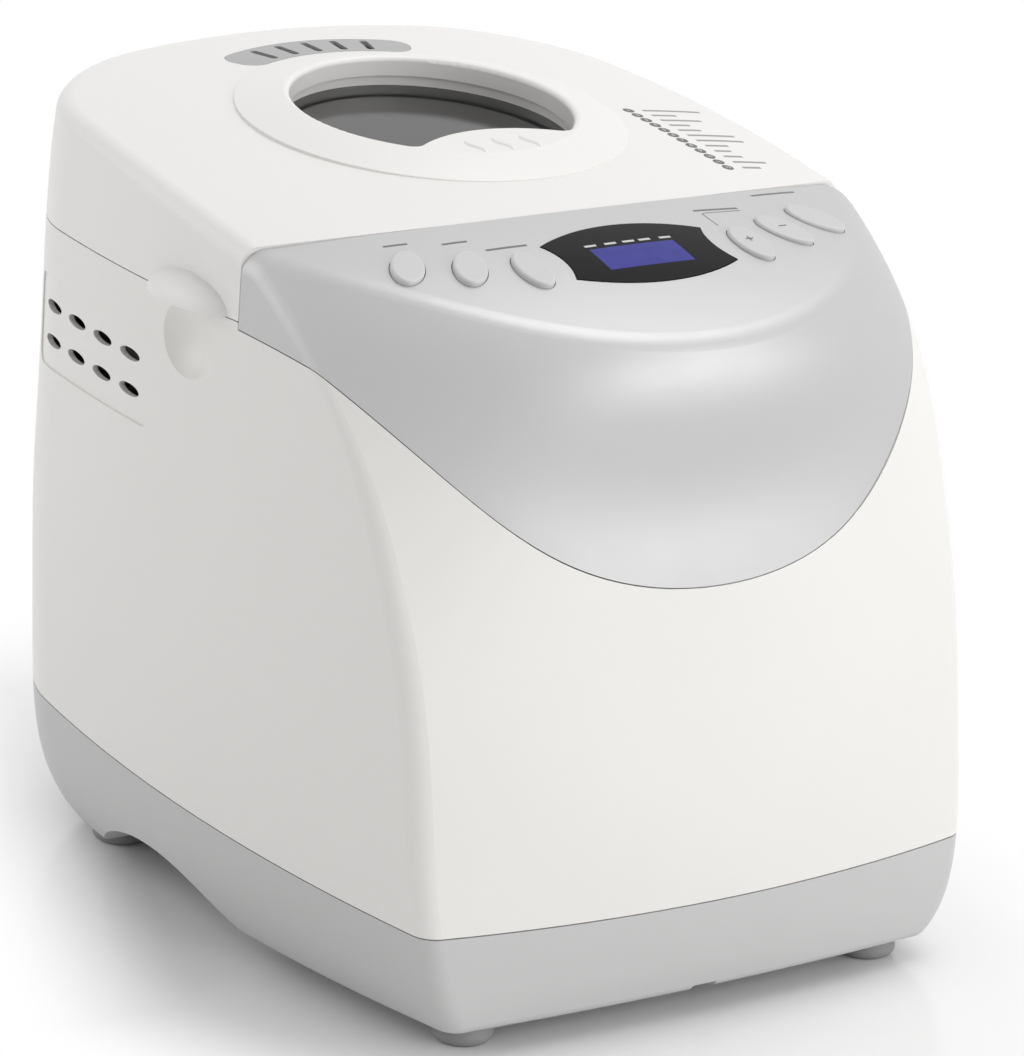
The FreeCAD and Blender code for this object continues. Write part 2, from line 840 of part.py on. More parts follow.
def vent_sector(grow, z0, z1):
    half = math.radians(vent_half_angle) + grow / vent_outer_radius
    low = vent_inner_radius - grow
    high = vent_outer_radius + grow

    def at(radius, turn):
        return V(radius * math.sin(turn), ring_y + radius * math.cos(turn), z0)

    edges = [Part.Arc(at(low, -half), at(low, 0), at(low, half)).toShape(),
             line(at(low, half), at(high, half)),
             Part.Arc(at(high, half), at(high, 0), at(high, -half)).toShape(),
             line(at(high, -half), at(low, -half))]
    sector = Part.Face(Part.Wire(edges)).extrude(UP * (z1 - z0))
    return sector.makeFillet(vent_corner + grow, upright_edges(sector))


def vent_slots():
    middle = (vent_inner_radius + vent_outer_radius) / 2
    half = vent_slot_width / 2
    reach = vent_slot_length / 2
    slots = []
    for i in range(vent_slot_count):
        turn = (i - (vent_slot_count - 1) / 2) * vent_slot_pitch
        slot = rounded_box(-half, half, middle - reach, middle + reach, 0, far, half * 0.98)
        slot.rotate(V(0, 0, 0), UP, -turn)
        slot.translate(V(0, ring_y, 0))
        slots.append(slot)
    return slots


glass_radius = window_radius + window_recess + window_lap - fit_gap
liner_bottom = lid_seam + liner_drop
liner_top = liner_bottom + sheet
liner_bosses = [(sx * x, y) for sx in (-1, 1) for x, y in (liner_boss_front, liner_boss_rear)]


def lid_cover():
    behind = between(lid_seam + seam_gap / 2, far).cut(ahead_of_lid_line(seam_gap))
    solid = outer_walls.common(lid_top).common(behind).Solids[0]
    edges = wall_edges(solid, outer_walls.Faces, lid_top.Faces[:1])
    solid = solid.makeFillet(lid_edge_radius, edges).Solids[0]
    hollow = inner_walls.common(under_top(lid_arc, wall)).cut(ahead_of_lid_line(seam_gap + wall))
    tab = ellipsoid(V(levels[6][1] - 1, tab_y, lid_seam), tab_size).common(behind)
    inside = under_top(lid_arc, wall / 2)
    bosses = [post(liner_boss, x, y, liner_top, far).common(inside) for x, y in liner_bosses]
    web = box(knuckle_low, knuckle_high, hinge_root, hinge_y,
              lid_seam + seam_gap / 2, lid_seam + 2 * knuckle_radius)
    knuckle = hinge_barrel(knuckle_low, knuckle_high, knuckle_radius).fuse(web)
    shell = fused([solid] + both_sides(tab) + both_sides(knuckle)).cut(hollow)
    shell = shell.cut(placed(post(ring_radius - wall - seam_gap, 0, 0, -far / 8, far / 8), ring_axes))
    trim = placed(ring_trim(), ring_axes)
    shell = fused([shell, trim] + bosses)
    shell = shell.cut(vent_sector(fit_gap, 0, far).cut(under_top(lid_arc, vent_thickness)))
    shell = shell.cut(vent_sector(-2 * vent_thickness, liner_top, far))
    cuts = [hinge_clearance(x0, x1) for x0, x1 in lug_spans]
    cuts.append(hinge_barrel(knuckle_low - 1, knuckle_high + 1, pin_radius + running_gap))
    for cut in cuts:
        shell = shell.cut(cut).cut(mirrored(cut))
    hole_end = liner_bottom + liner_screw_length + screw_spare
    for x, y in liner_bosses:
        shell = shell.cut(post(screw_radius + fit_gap, x, y, liner_bottom, hole_end))
    return shell


def steam_vent():
    plate = vent_sector(0, 0, far).common(lid_top).cut(under_top(lid_arc, vent_thickness - fit_gap / 10))
    for slot in vent_slots():
        plate = plate.cut(slot)
    return plate


def lid_window():
    low = -window_depth - window_thickness
    return placed(post(glass_radius, 0, 0, low, -window_depth), ring_axes)


def lid_liner():
    plate = fitted_walls.common(between(liner_bottom, liner_top))
    plate = plate.cut(ahead_of_lid_line(seam_gap + wall + fit_gap))
    well = glass_radius - window_rest
    glass_bottom = -window_depth - window_thickness
    above_glass = placed(box(-far, far, -far, far, glass_bottom - fit_gap, far), ring_axes)
    chimney = post(well + sheet, 0, ring_y, liner_bottom, lid_arc[1][1]).cut(above_glass)
    plate = plate.fuse(chimney).cut(post(well, 0, ring_y, 0, far))
    for x, y in liner_bosses:
        plate = plate.cut(post(screw_radius + fit_gap, x, y, 0, far))
    for x0, x1 in lug_spans:
        plate = plate.cut(hinge_clearance(x0, x1)).cut(mirrored(hinge_clearance(x0, x1)))
    return plate


def lid_seal():
    x = oven_half_width + seal_margin[0]
    y = oven_half_depth + seal_margin[1]
    outer = rounded_box(-x - seal_lip, x + seal_lip, oven_y - y - seal_lip, oven_y + y + seal_lip,
                        frame_top + fit_gap, liner_bottom, seal_corner + seal_lip)
    return outer.cut(rounded_box(-x, x, oven_y - y, oven_y + y, 0, far, seal_corner))


save("lid_cover", lid_cover())
save("steam_vent", steam_vent())
save("lid_window", lid_window())
save("lid_liner", lid_liner())
save("lid_seal", lid_seal())
save("liner_screws", [screw_up(x, y, liner_bottom, liner_screw_length) for x, y in liner_bosses])

# Chassis, baking chamber and the frame round its mouth

standoff_places = [(sx * standoff_x, oven_y + sy * standoff_reach) for sx in (-1, 1) for sy in (-1, 1)]
frame_bottom = frame_top - frame_thickness
shaft_hole = bush_radius + fit_gap
tail_y = oven_y + oven_half_depth + sheet


def chassis_plate():
    plate = rounded_box(-chassis_half_width, chassis_half_width, chassis_front, chassis_back,
                        chassis_z, chassis_top, chassis_corner)
    plate = plate.cut(post(shaft_hole, 0, oven_y, 0, far))
    plate = plate.cut(post(motor_boss + fit_gap, motor_x, motor_y, 0, far))
    for x, y in post_places:
        plate = plate.cut(post(screw_radius + fit_gap, x, y, 0, far))
    return plate


def chassis_screw(x, y):
    head = post(screw_head, x, y, chassis_top, chassis_top + screw_head_height)
    return head.fuse(post(screw_radius, x, y, chassis_top - chassis_screw_length, chassis_top))


def oven_block(grow, z0, z1):
    x = oven_half_width + grow
    y = oven_half_depth + grow
    return rounded_box(-x, x, oven_y - y, oven_y + y, z0, z1, oven_corner + grow)


def oven_chamber():
    outer = oven_block(sheet, oven_floor, frame_bottom)
    flange = oven_block(sheet + oven_flange, frame_bottom - sheet, frame_bottom)
    shell = outer.fuse(flange).cut(oven_block(0, oven_floor + sheet, far))
    shell = shell.cut(post(oven_shaft_hole, 0, oven_y, 0, far))
    for x_tail in (-heater_tail_x, heater_tail_x):
        tail_hole = rod(heater_wire + 3 * fit_gap, V(x_tail, oven_y, heater_z), V(x_tail, far, heater_z))
        shell = shell.cut(tail_hole)
    return shell.cut(rod(sensor_radius + fit_gap, V(sensor_x, -far, sensor_z), V(sensor_x, oven_y, sensor_z)))


def top_frame():
    plate = fitted_walls.common(between(frame_bottom, frame_top)).cut(ahead_of_lid_line(seam_gap))
    plate = plate.cut(oven_block(0, 0, far))
    for block in both_sides(scoop(wall + fit_gap)) + both_sides(hinge_clearance(knuckle_low, knuckle_high)):
        plate = plate.cut(block)
    return plate


def bent_wire(points, bends, radius):
    """A round wire along straight runs joined by tangent arcs."""
    edges = []
    at = points[0]
    for i in range(1, len(points) - 1):
        before = V(points[i - 1].sub(points[i])).normalize()
        after = V(points[i + 1].sub(points[i])).normalize()
        half = before.getAngle(after) / 2
        cut_back = bends[i - 1] / math.tan(half)
        start = points[i] + before * cut_back
        end = points[i] + after * cut_back
        inward = (before + after).normalize()
        middle = points[i] + inward * (bends[i - 1] / math.sin(half) - bends[i - 1])
        edges.append(line(at, start))
        edges.append(Part.Arc(start, middle, end).toShape())
        at = end
    edges.append(line(at, points[-1]))
    path = Part.Wire(edges)
    section = Part.Wire([Part.Circle(points[0], points[1].sub(points[0]), radius).toShape()])
    return path.makePipeShell([section], True, False)


def heater_element():
    x = oven_half_width - heater_margin
    y = oven_half_depth - heater_margin
    loop = [V(-heater_tail_x, tail_y + heater_tail_length, heater_z),
            V(-heater_tail_x, oven_y + y, heater_z),
            V(-x, oven_y + y, heater_z),
            V(-x, oven_y - y, heater_z)]
    points = loop + [flip(p) for p in reversed(loop)]
    bends = [heater_tail_bend] + [heater_corner] * 4 + [heater_tail_bend]
    return bent_wire(points, bends, heater_wire)


def heater_clips():
    reach = heater_margin + 2 * heater_wire
    height = 2 * heater_wire
    side_clip = box(oven_half_width - reach, oven_half_width,
                    oven_y - clip_width / 2, oven_y + clip_width / 2,
                    heater_z - height, heater_z + height)
    x = oven_half_width - heater_margin
    bore = rod(heater_wire + fit_gap, V(x, -far, heater_z), V(x, far, heater_z))
    front_y = oven_y - oven_half_depth
    front_clip = box(-clip_width / 2, clip_width / 2, front_y, front_y + reach,
                     heater_z - height, heater_z + height)
    y = front_y + heater_margin
    front_bore = rod(heater_wire + fit_gap, V(-far, y, heater_z), V(far, y, heater_z))
    return both_sides(side_clip.cut(bore)) + [front_clip.cut(front_bore)]


def temperature_sensor():
    face_y = oven_y - oven_half_depth - sheet
    face = V(sensor_x, face_y, sensor_z)
    probe = rod(sensor_radius, face - V(0, sensor_tail, 0), face + V(0, sheet + sensor_reach, 0))
    return probe.fuse(rod(sensor_flange, face - V(0, sensor_flange_height, 0), face))


save("chassis_plate", chassis_plate())
save("chassis_screws", [chassis_screw(x, y) for x, y in post_places])
save("chamber_standoffs", [post(standoff_radius, x, y, chassis_top, oven_floor) for x, y in standoff_places])
save("oven_chamber", oven_chamber())
save("top_frame", top_frame())
save("heater_element", heater_element())
save("heater_clips", heater_clips())
save("temperature_sensor", temperature_sensor())

# Bread pan with its bail, seated in a socket on the chamber floor

socket_floor = oven_floor + sheet
skirt_bottom = socket_floor + socket_ledge + fit_gap
bail_z = pan_top - bail_drop


def rounded_rectangle(half, corner, z):
    x, y = half
    c = corner
    k = corner * (1 - math.sqrt(0.5))
    corners = []
    for sx, sy in ((1, -1), (1, 1), (-1, 1), (-1, -1)):
        ends = [V(sx * x, oven_y + sy * (y - c), z), V(sx * (x - c), oven_y + sy * y, z)]
        if sx * sy < 0:
            ends.reverse()
        corners.append(Part.Arc(ends[0], V(sx * (x - k), oven_y + sy * (y - k), z), ends[1]))
    edges = []
    for i, curve in enumerate(corners):
        edges.append(curve.toShape())
        edges.append(line(curve.EndPoint, corners[(i + 1) % 4].StartPoint))
    return Part.Wire(edges)


def pan_form(inset, z0, z1):
    def shrunk(half):
        return half[0] - inset, half[1] - inset
    low = rounded_rectangle(shrunk(pan_half_bottom), pan_corner - inset, z0)
    high = rounded_rectangle(shrunk(pan_half_top), pan_corner - inset, z1)
    return Part.makeLoft([low, high], True, True)


def bread_pan():
    outer = pan_form(0, pan_floor, pan_top)
    rim_half = (pan_half_top[0] + pan_rim, pan_half_top[1] + pan_rim)
    rim = Part.Face(rounded_rectangle(rim_half, pan_corner + pan_rim, pan_top - pan_rim_height))
    rim = rim.extrude(UP * pan_rim_height)
    skirt = post(skirt_radius, 0, oven_y, skirt_bottom, pan_floor)
    ears = both_sides(rod(ear_radius, V(pan_half_bottom[0], oven_y, bail_z), V(ear_end, oven_y, bail_z)))
    shell = fused([outer, rim, skirt] + ears)
    shell = shell.cut(pan_form(pan_sheet, pan_floor + pan_sheet, pan_top + fit_gap / 10))
    shell = shell.cut(post(skirt_radius - skirt_sheet, 0, oven_y, 0, pan_floor))
    bore = rod(bail_wire + running_gap, V(bail_end - bail_end_gap, oven_y, bail_z), V(far, oven_y, bail_z))
    shell = shell.cut(bore).cut(mirrored(bore))
    return shell.cut(post(bush_radius + fit_gap, 0, oven_y, 0, far))


def bail_handle():
    half = [V(-bail_end, oven_y, bail_z), V(-bail_half_width, oven_y, bail_z),
            V(-bail_half_width, oven_y - bail_reach, bail_z)]
    points = half + [flip(p) for p in reversed(half)]
    bends = [bail_ear_bend, bail_bend, bail_bend, bail_ear_bend]
    return bent_wire(points, bends, bail_wire)


def pan_socket():
    outer = skirt_radius + fit_gap + socket_wall
    ring = tube(outer, skirt_radius + fit_gap, 0, oven_y, socket_floor, socket_floor + socket_height)
    ledge = tube(outer, skirt_radius - skirt_sheet - 2, 0, oven_y, socket_floor, socket_floor + socket_ledge)
    return ring.fuse(ledge).removeSplitter()


def flanged_bush(z_face, below):
    """A plain bush standing through a plate whose upper face is at z_face."""
    bore = shaft_radius + running_gap
    low = z_face - below
    body = tube(bush_radius, bore, 0, oven_y, low, low + bush_length)
    collar = tube(bush_flange_radius, bore, 0, oven_y, z_face, z_face + bush_flange)
    return body.fuse(collar).removeSplitter()


save("bread_pan", bread_pan())
save("bail_handle", bail_handle())
save("pan_socket", pan_socket())
save("pan_bush", flanged_bush(pan_floor + pan_sheet, pan_sheet))
save("chassis_bush", flanged_bush(chassis_top, chassis_sheet + bush_below))

# Drive train: coupler in two halves, paddle, pulleys, belt and motor

drive_plate_z = socket_floor + socket_ledge
drive_dog_top = drive_plate_z + coupler_plate + coupler_mesh
pan_plate_top = pan_floor - 2 * fit_gap
pan_plate_z = pan_plate_top - coupler_plate
bush_top = pan_floor + bush_length
paddle_z = bush_top + fit_gap
hub_bore = shaft_radius + running_gap
belt_low = belt_z - belt_width / 2
belt_high = belt_z + belt_width / 2


def coupler_dogs(z0, z1, start):
    half = math.radians(coupler_half_angle)

    def at(radius, turn):
        return V(radius * math.cos(turn), oven_y + radius * math.sin(turn), z0)

    dogs = []
    for turn in (start, start + math.pi):
        inner = [at(coupler_inner, turn + s * half) for s in (-1, 0, 1)]
        outer = [at(coupler_outer, turn + s * half) for s in (1, 0, -1)]
        edges = [Part.Arc(*inner).toShape(), line(inner[2], outer[0]),
                 Part.Arc(*outer).toShape(), line(outer[2], inner[0])]
        dogs.append(Part.Face(Part.Wire(edges)).extrude(UP * (z1 - z0)))
    return dogs


def coupler_half(plate_z, dog_low, dog_high, start):
    plate = post(coupler_outer, 0, oven_y, plate_z, plate_z + coupler_plate)
    shape = fused([plate] + coupler_dogs(dog_low, dog_high, start))
    return shape.cut(post(hub_bore, 0, oven_y, 0, far))


def kneading_paddle():
    hub = post(paddle_hub, 0, oven_y, paddle_z, paddle_z + paddle_hub_height)
    half = paddle_thickness / 2
    low = paddle_z
    tip = V(paddle_reach, -half, low + 0.3 * paddle_height)
    crest = V(0.25 * paddle_reach, -half, low + paddle_height)
    edges = [line(V(0, -half, low), V(paddle_reach, -half, low)),
             line(V(paddle_reach, -half, low), tip),
             Part.Arc(tip, V(0.72 * paddle_reach, -half, low + 0.78 * paddle_height), crest).toShape(),
             line(crest, V(0, -half, low + paddle_height * 0.8)),
             line(V(0, -half, low + paddle_height * 0.8), V(0, -half, low))]
    blade = Part.Face(Part.Wire(edges)).extrude(V(0, paddle_thickness, 0))
    blade.translate(V(0, oven_y, 0))
    bore = post(hub_bore, 0, oven_y, 0, paddle_z + paddle_hub_height - paddle_cap)
    return hub.fuse(blade).removeSplitter().cut(bore)


def pulley(x, y, radius, bore):
    low = belt_low - fit_gap
    high = belt_high + fit_gap
    core = post(radius, x, y, low, high)
    rims = [post(radius + pulley_flange, x, y, low - pulley_flange_height, low),
            post(radius + pulley_flange, x, y, high, high + pulley_flange_height)]
    return fused([core] + rims).cut(post(bore, x, y, 0, far))


def belt_loop(grow):
    """The area inside an open belt round both pulleys, drawn out by grow."""
    big = V(0, oven_y, belt_low)
    small = V(motor_x, motor_y, belt_low)
    r1 = driven_radius + grow
    r2 = driver_radius + grow
    along = small.sub(big)
    lean = math.acos((r1 - r2) / along.Length)
    heading = math.atan2(along.y, along.x)

    def at(centre, radius, turn):
        return centre + V(math.cos(turn), math.sin(turn), 0) * radius

    a, b = heading + lean, heading - lean
    edges = [Part.Arc(at(big, r1, a), at(big, r1, heading + math.pi), at(big, r1, b)).toShape(),
             line(at(big, r1, b), at(small, r2, b)),
             Part.Arc(at(small, r2, b), at(small, r2, heading), at(small, r2, a)).toShape(),
             line(at(small, r2, a), at(big, r1, a))]
    return Part.Face(Part.Wire(edges)).extrude(UP * belt_width)


def round_can(radius, x, y, z0, z1, edge_radius):
    """A drawn can: a cylinder with its top edge rounded."""
    can = post(radius, x, y, z0, z1)
    return can.makeFillet(edge_radius, [e for e in can.Edges if e.CenterOfMass.z > z1 - 0.01])


def motor():
    flange_top = chassis_top + motor_flange_height
    can = round_can(motor_radius, motor_x, motor_y, flange_top, chassis_top + motor_height, motor_round)
    half_width = motor_radius + motor_ear
    flange = rounded_box(motor_x - half_width, motor_x + half_width,
                         motor_y - motor_ear_half_depth, motor_y + motor_ear_half_depth,
                         chassis_top, flange_top, motor_ear_corner)
    boss = post(motor_boss, motor_x, motor_y, chassis_z - motor_boss_below, flange_top)
    bore = post(motor_shaft_radius + running_gap, motor_x, motor_y, 0, chassis_top + motor_bore_depth)
    return fused([can, flange, boss]).cut(bore)


def board_block(place, size, z):
    x, y = place
    half_x, half_y = size[0] / 2, size[1] / 2
    return box(x - half_x, x + half_x, y - half_y, y + half_y, z, z + size[2])


def power_board():
    low = chassis_top + power_rise
    top = low + board_thickness
    plate = box(*power_x, *power_y, low, top)
    legs = []
    for x in (power_x[0] + power_leg_inset, power_x[1] - power_leg_inset):
        for y in (power_y[0] + power_leg_inset, power_y[1] - power_leg_inset):
            legs.append(post(power_leg_radius, x, y, chassis_top, low))
    lumps = [board_block(transformer_place, transformer_size, top), board_block(relay_place, relay_size, top),
             post(filter_radius, *filter_place, top, top + filter_height)]
    return fused([plate] + legs + lumps)


def motor_capacitor():
    top = chassis_top + capacitor_height
    return round_can(capacitor_radius, *capacitor_place, chassis_top, top, capacitor_round)


drive_plate_top = drive_plate_z + coupler_plate
shaft_end = paddle_z + paddle_hub_height - paddle_cap - shaft_end_gap
save("drive_coupler", coupler_half(drive_plate_z, drive_plate_top, drive_dog_top, 0))
save("pan_coupler", coupler_half(pan_plate_z, drive_plate_top + fit_gap, pan_plate_z, math.pi / 2))
save("drive_shaft", post(shaft_radius, 0, oven_y, belt_low - shaft_tail, drive_plate_top))
save("pan_shaft", post(shaft_radius, 0, oven_y, pan_plate_z, shaft_end))
save("kneading_paddle", kneading_paddle())
save("driven_pulley", pulley(0, oven_y, driven_radius, hub_bore))
save("motor_pulley", pulley(motor_x, motor_y, driver_radius, motor_shaft_radius + running_gap))
motor_shaft_top = chassis_top + motor_bore_depth - shaft_end_gap
save("motor_shaft", post(motor_shaft_radius, motor_x, motor_y, belt_low - shaft_tail, motor_shaft_top))
save("drive_belt", belt_loop(fit_gap + belt_thickness).cut(belt_loop(fit_gap)))
save("motor", motor())
save("power_board", power_board())
save("motor_capacitor", motor_capacitor())
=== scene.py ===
import bpy
import json
import math
from mathutils import Matrix, Vector
from mathutils.bvhtree import BVHTree


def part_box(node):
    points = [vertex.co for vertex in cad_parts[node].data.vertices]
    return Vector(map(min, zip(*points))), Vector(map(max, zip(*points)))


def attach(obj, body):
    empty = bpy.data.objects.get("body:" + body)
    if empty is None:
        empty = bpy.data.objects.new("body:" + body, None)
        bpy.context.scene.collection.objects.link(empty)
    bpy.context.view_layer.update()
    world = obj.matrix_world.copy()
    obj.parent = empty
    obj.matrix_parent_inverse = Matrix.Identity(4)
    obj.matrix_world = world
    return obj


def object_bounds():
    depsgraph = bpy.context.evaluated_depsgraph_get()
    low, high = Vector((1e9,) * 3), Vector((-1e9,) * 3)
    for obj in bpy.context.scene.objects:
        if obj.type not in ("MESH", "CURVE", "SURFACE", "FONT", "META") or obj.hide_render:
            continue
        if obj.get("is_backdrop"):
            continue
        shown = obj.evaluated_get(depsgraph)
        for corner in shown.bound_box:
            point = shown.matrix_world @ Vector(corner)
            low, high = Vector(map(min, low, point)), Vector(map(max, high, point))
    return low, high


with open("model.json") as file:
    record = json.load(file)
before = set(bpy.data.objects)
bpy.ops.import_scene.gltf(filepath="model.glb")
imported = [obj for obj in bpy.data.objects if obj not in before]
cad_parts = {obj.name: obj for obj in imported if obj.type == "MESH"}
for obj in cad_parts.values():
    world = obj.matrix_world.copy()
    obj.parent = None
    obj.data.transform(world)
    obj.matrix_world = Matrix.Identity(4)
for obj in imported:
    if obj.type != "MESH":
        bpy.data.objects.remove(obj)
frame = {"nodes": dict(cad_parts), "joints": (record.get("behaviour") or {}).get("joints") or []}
cad_low, cad_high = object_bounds()
nodes = frame["nodes"]


# Base tray: the shallow grey bowl that the machine stands in, with a hand grip arched into each side.
# Injection-moulded polypropylene with an even spark-eroded texture from the mould.
# The chassis posts and the housing's lower edge locate in it.
def add_node(tree, kind, feeds=None, **settings):
    made = tree.nodes.new(kind)
    for key, value in settings.items():
        setattr(made, key, value)
    for socket, value in (feeds or {}).items():
        if isinstance(value, bpy.types.NodeSocket):
            tree.links.new(value, made.inputs[socket])
        else:
            made.inputs[socket].default_value = value
    return made


def mix_colours(tree, factor, first, second):
    """A Mix node's colour sockets come after those for numbers and vectors."""
    mixed = add_node(tree, "ShaderNodeMix", {"Factor": factor, 6: first, 7: second}, data_type="RGBA")
    return mixed.outputs[2]


def blank_finish(name):
    finish = bpy.data.materials.new(name)
    finish.use_nodes = True
    finish.node_tree.nodes.clear()
    return finish, finish.node_tree


def shader_group(name, inputs, outputs):
    group = bpy.data.node_groups.new(name, "ShaderNodeTree")
    for label, kind, value in inputs:
        group.interface.new_socket(label, in_out="INPUT", socket_type=kind).default_value = value
    for label, kind in outputs:
        group.interface.new_socket(label, in_out="OUTPUT", socket_type=kind)
    return group, group.nodes.new("NodeGroupInput"), group.nodes.new("NodeGroupOutput")


def moulded_skin_group():
    group, given, gives = shader_group(
        "moulded_skin",
        [("Tone", "NodeSocketColor", (0.8, 0.8, 0.8, 1)), ("Drift", "NodeSocketFloat", 0.04),
         ("Grain", "NodeSocketFloat", 1800.0), ("Roughness", "NodeSocketFloat", 0.4),
         ("Roughness Spread", "NodeSocketFloat", 0.1)],
        [("Colour", "NodeSocketColor"), ("Roughness", "NodeSocketFloat"), ("Height", "NodeSocketFloat")])
    place = add_node(group, "ShaderNodeTexCoord").outputs["Object"]
    grain = add_node(group, "ShaderNodeTexNoise",
                     {"Vector": place, "Scale": given.outputs["Grain"], "Detail": 2.0, "Roughness": 0.6})
    flow = add_node(group, "ShaderNodeTexNoise", {"Vector": place, "Scale": 11.0, "Detail": 3.0})
    polish = add_node(group, "ShaderNodeTexNoise", {"Vector": place, "Scale": 55.0, "Detail": 4.0})
    speck = add_node(group, "ShaderNodeMath",
                     {0: grain.outputs["Fac"], 1: flow.outputs["Fac"]}, operation="ADD")
    fade = add_node(group, "ShaderNodeMath",
                    {0: speck.outputs[0], 1: given.outputs["Drift"]}, operation="MULTIPLY")
    keep = add_node(group, "ShaderNodeMath", {0: 1.0, 1: fade.outputs[0]}, operation="SUBTRACT")
    tint = add_node(group, "ShaderNodeVectorMath",
                    {0: given.outputs["Tone"], "Scale": keep.outputs[0]}, operation="SCALE")
    swing = add_node(group, "ShaderNodeMath", {0: polish.outputs["Fac"], 1: 0.5}, operation="SUBTRACT")
    rub = add_node(group, "ShaderNodeMath",
                   {0: swing.outputs[0], 1: given.outputs["Roughness Spread"], 2: given.outputs["Roughness"]},
                   operation="MULTIPLY_ADD")
    group.links.new(tint.outputs[0], gives.inputs["Colour"])
    group.links.new(rub.outputs[0], gives.inputs["Roughness"])
    group.links.new(grain.outputs["Fac"], gives.inputs["Height"])
    return group


moulded_skin = moulded_skin_group()


def moulded(name, tone, roughness, grain=1800.0, depth=0.00003, drift=0.03, **plain):
    finish, tree = blank_finish(name)
    given = {"Tone": (*tone, 1), "Drift": drift, "Grain": grain, "Roughness": roughness}
    skin = add_node(tree, "ShaderNodeGroup", given, node_tree=moulded_skin)
    bump = add_node(tree, "ShaderNodeBump",
                    {"Height": skin.outputs["Height"], "Distance": depth, "Strength": 0.6})
    surface = add_node(tree, "ShaderNodeBsdfPrincipled",
                       {"Base Color": skin.outputs["Colour"], "Roughness": skin.outputs["Roughness"],
                        "Normal": bump.outputs[0]})
    for socket, value in plain.items():
        surface.inputs[socket.replace("_", " ")].default_value = value
    add_node(tree, "ShaderNodeOutputMaterial", {"Surface": surface.outputs[0]})
    return finish


def dress(finish, *names):
    for name in names:
        mesh = nodes[name].data
        mesh.materials.clear()
        mesh.materials.append(finish)


base_plastic = moulded("base_plastic", (0.55, 0.55, 0.548), 0.46, grain=1500.0, depth=0.00004)
dress(base_plastic, "base_tray")


# Feet: four ribless round pads pushed into the tray's floor.
# Soft grey thermoplastic rubber, matt and slightly dusty where it meets the table.
foot_rubber = moulded("foot_rubber", (0.29, 0.29, 0.291), 0.62, grain=2600.0, depth=0.00005, drift=0.10)
dress(foot_rubber, "foot_front_left", "foot_front_right", "foot_rear_left", "foot_rear_right")


# Cord gland: the flanged sleeve in the back wall that the lead passes through.
# Black nylon, snapped in from outside.
gland_nylon = moulded("gland_nylon", (0.022, 0.022, 0.024), 0.5, grain=2400.0, drift=0.12)
dress(gland_nylon, "cord_gland")


# Chassis plate with its screws and the stand-offs under the chamber.
# Galvanised steel sheet, cut and pressed, with the crystal pattern that the zinc leaves.
def worked_metal_group():
    group, given, gives = shader_group(
        "worked_metal",
        [("Tone", "NodeSocketColor", (0.6, 0.6, 0.6, 1)), ("Streak", "NodeSocketVector", (60, 60, 60)),
         ("Stain", "NodeSocketFloat", 0.15), ("Roughness", "NodeSocketFloat", 0.35),
         ("Roughness Spread", "NodeSocketFloat", 0.18)],
        [("Colour", "NodeSocketColor"), ("Roughness", "NodeSocketFloat"), ("Height", "NodeSocketFloat")])
    place = add_node(group, "ShaderNodeTexCoord").outputs["Object"]
    drawn = add_node(group, "ShaderNodeVectorMath",
                     {0: place, 1: given.outputs["Streak"]}, operation="MULTIPLY")
    streak = add_node(group, "ShaderNodeTexNoise", {"Vector": drawn.outputs[0], "Scale": 12.0, "Detail": 4.0})
    cloud = add_node(group, "ShaderNodeTexNoise", {"Vector": place, "Scale": 35.0, "Detail": 5.0})
    blend = add_node(group, "ShaderNodeMath",
                     {0: streak.outputs["Fac"], 1: cloud.outputs["Fac"]}, operation="MULTIPLY")
    fade = add_node(group, "ShaderNodeMath",
                    {0: blend.outputs[0], 1: given.outputs["Stain"]}, operation="MULTIPLY")
    keep = add_node(group, "ShaderNodeMath", {0: 1.0, 1: fade.outputs[0]}, operation="SUBTRACT")
    tint = add_node(group, "ShaderNodeVectorMath",
                    {0: given.outputs["Tone"], "Scale": keep.outputs[0]}, operation="SCALE")
    rub = add_node(group, "ShaderNodeMath",
                   {0: streak.outputs["Fac"], 1: given.outputs["Roughness Spread"],
                    2: given.outputs["Roughness"]}, operation="MULTIPLY_ADD")
    group.links.new(tint.outputs[0], gives.inputs["Colour"])
    group.links.new(rub.outputs[0], gives.inputs["Roughness"])
    group.links.new(streak.outputs["Fac"], gives.inputs["Height"])
    return group


worked_metal = worked_metal_group()


def metal(name, tone, roughness, streak=(60, 60, 60), stain=0.25, depth=0.00002, spangle=0.0):
    finish, tree = blank_finish(name)
    given = {"Tone": (*tone, 1), "Streak": streak, "Stain": stain, "Roughness": roughness}
    skin = add_node(tree, "ShaderNodeGroup", given, node_tree=worked_metal)
    colour = skin.outputs["Colour"]
    if spangle:
        place = add_node(tree, "ShaderNodeTexCoord").outputs["Object"]
        crystal = add_node(tree, "ShaderNodeTexVoronoi", {"Vector": place, "Scale": 1.0 / spangle})
        grey = add_node(tree, "ShaderNodeRGBToBW", {"Color": crystal.outputs["Color"]})
        shade = add_node(tree, "ShaderNodeMapRange",
                         {"Value": grey.outputs[0], "To Min": 0.78, "To Max": 1.06})
        leaf = add_node(tree, "ShaderNodeVectorMath",
                        {0: colour, "Scale": shade.outputs[0]}, operation="SCALE")
        colour = leaf.outputs[0]
    bump = add_node(tree, "ShaderNodeBump",
                    {"Height": skin.outputs["Height"], "Distance": depth, "Strength": 0.5})
    surface = add_node(tree, "ShaderNodeBsdfPrincipled",
                       {"Base Color": colour, "Metallic": 1.0, "Roughness": skin.outputs["Roughness"],
                        "Normal": bump.outputs[0]})
    add_node(tree, "ShaderNodeOutputMaterial", {"Surface": surface.outputs[0]})
    return finish


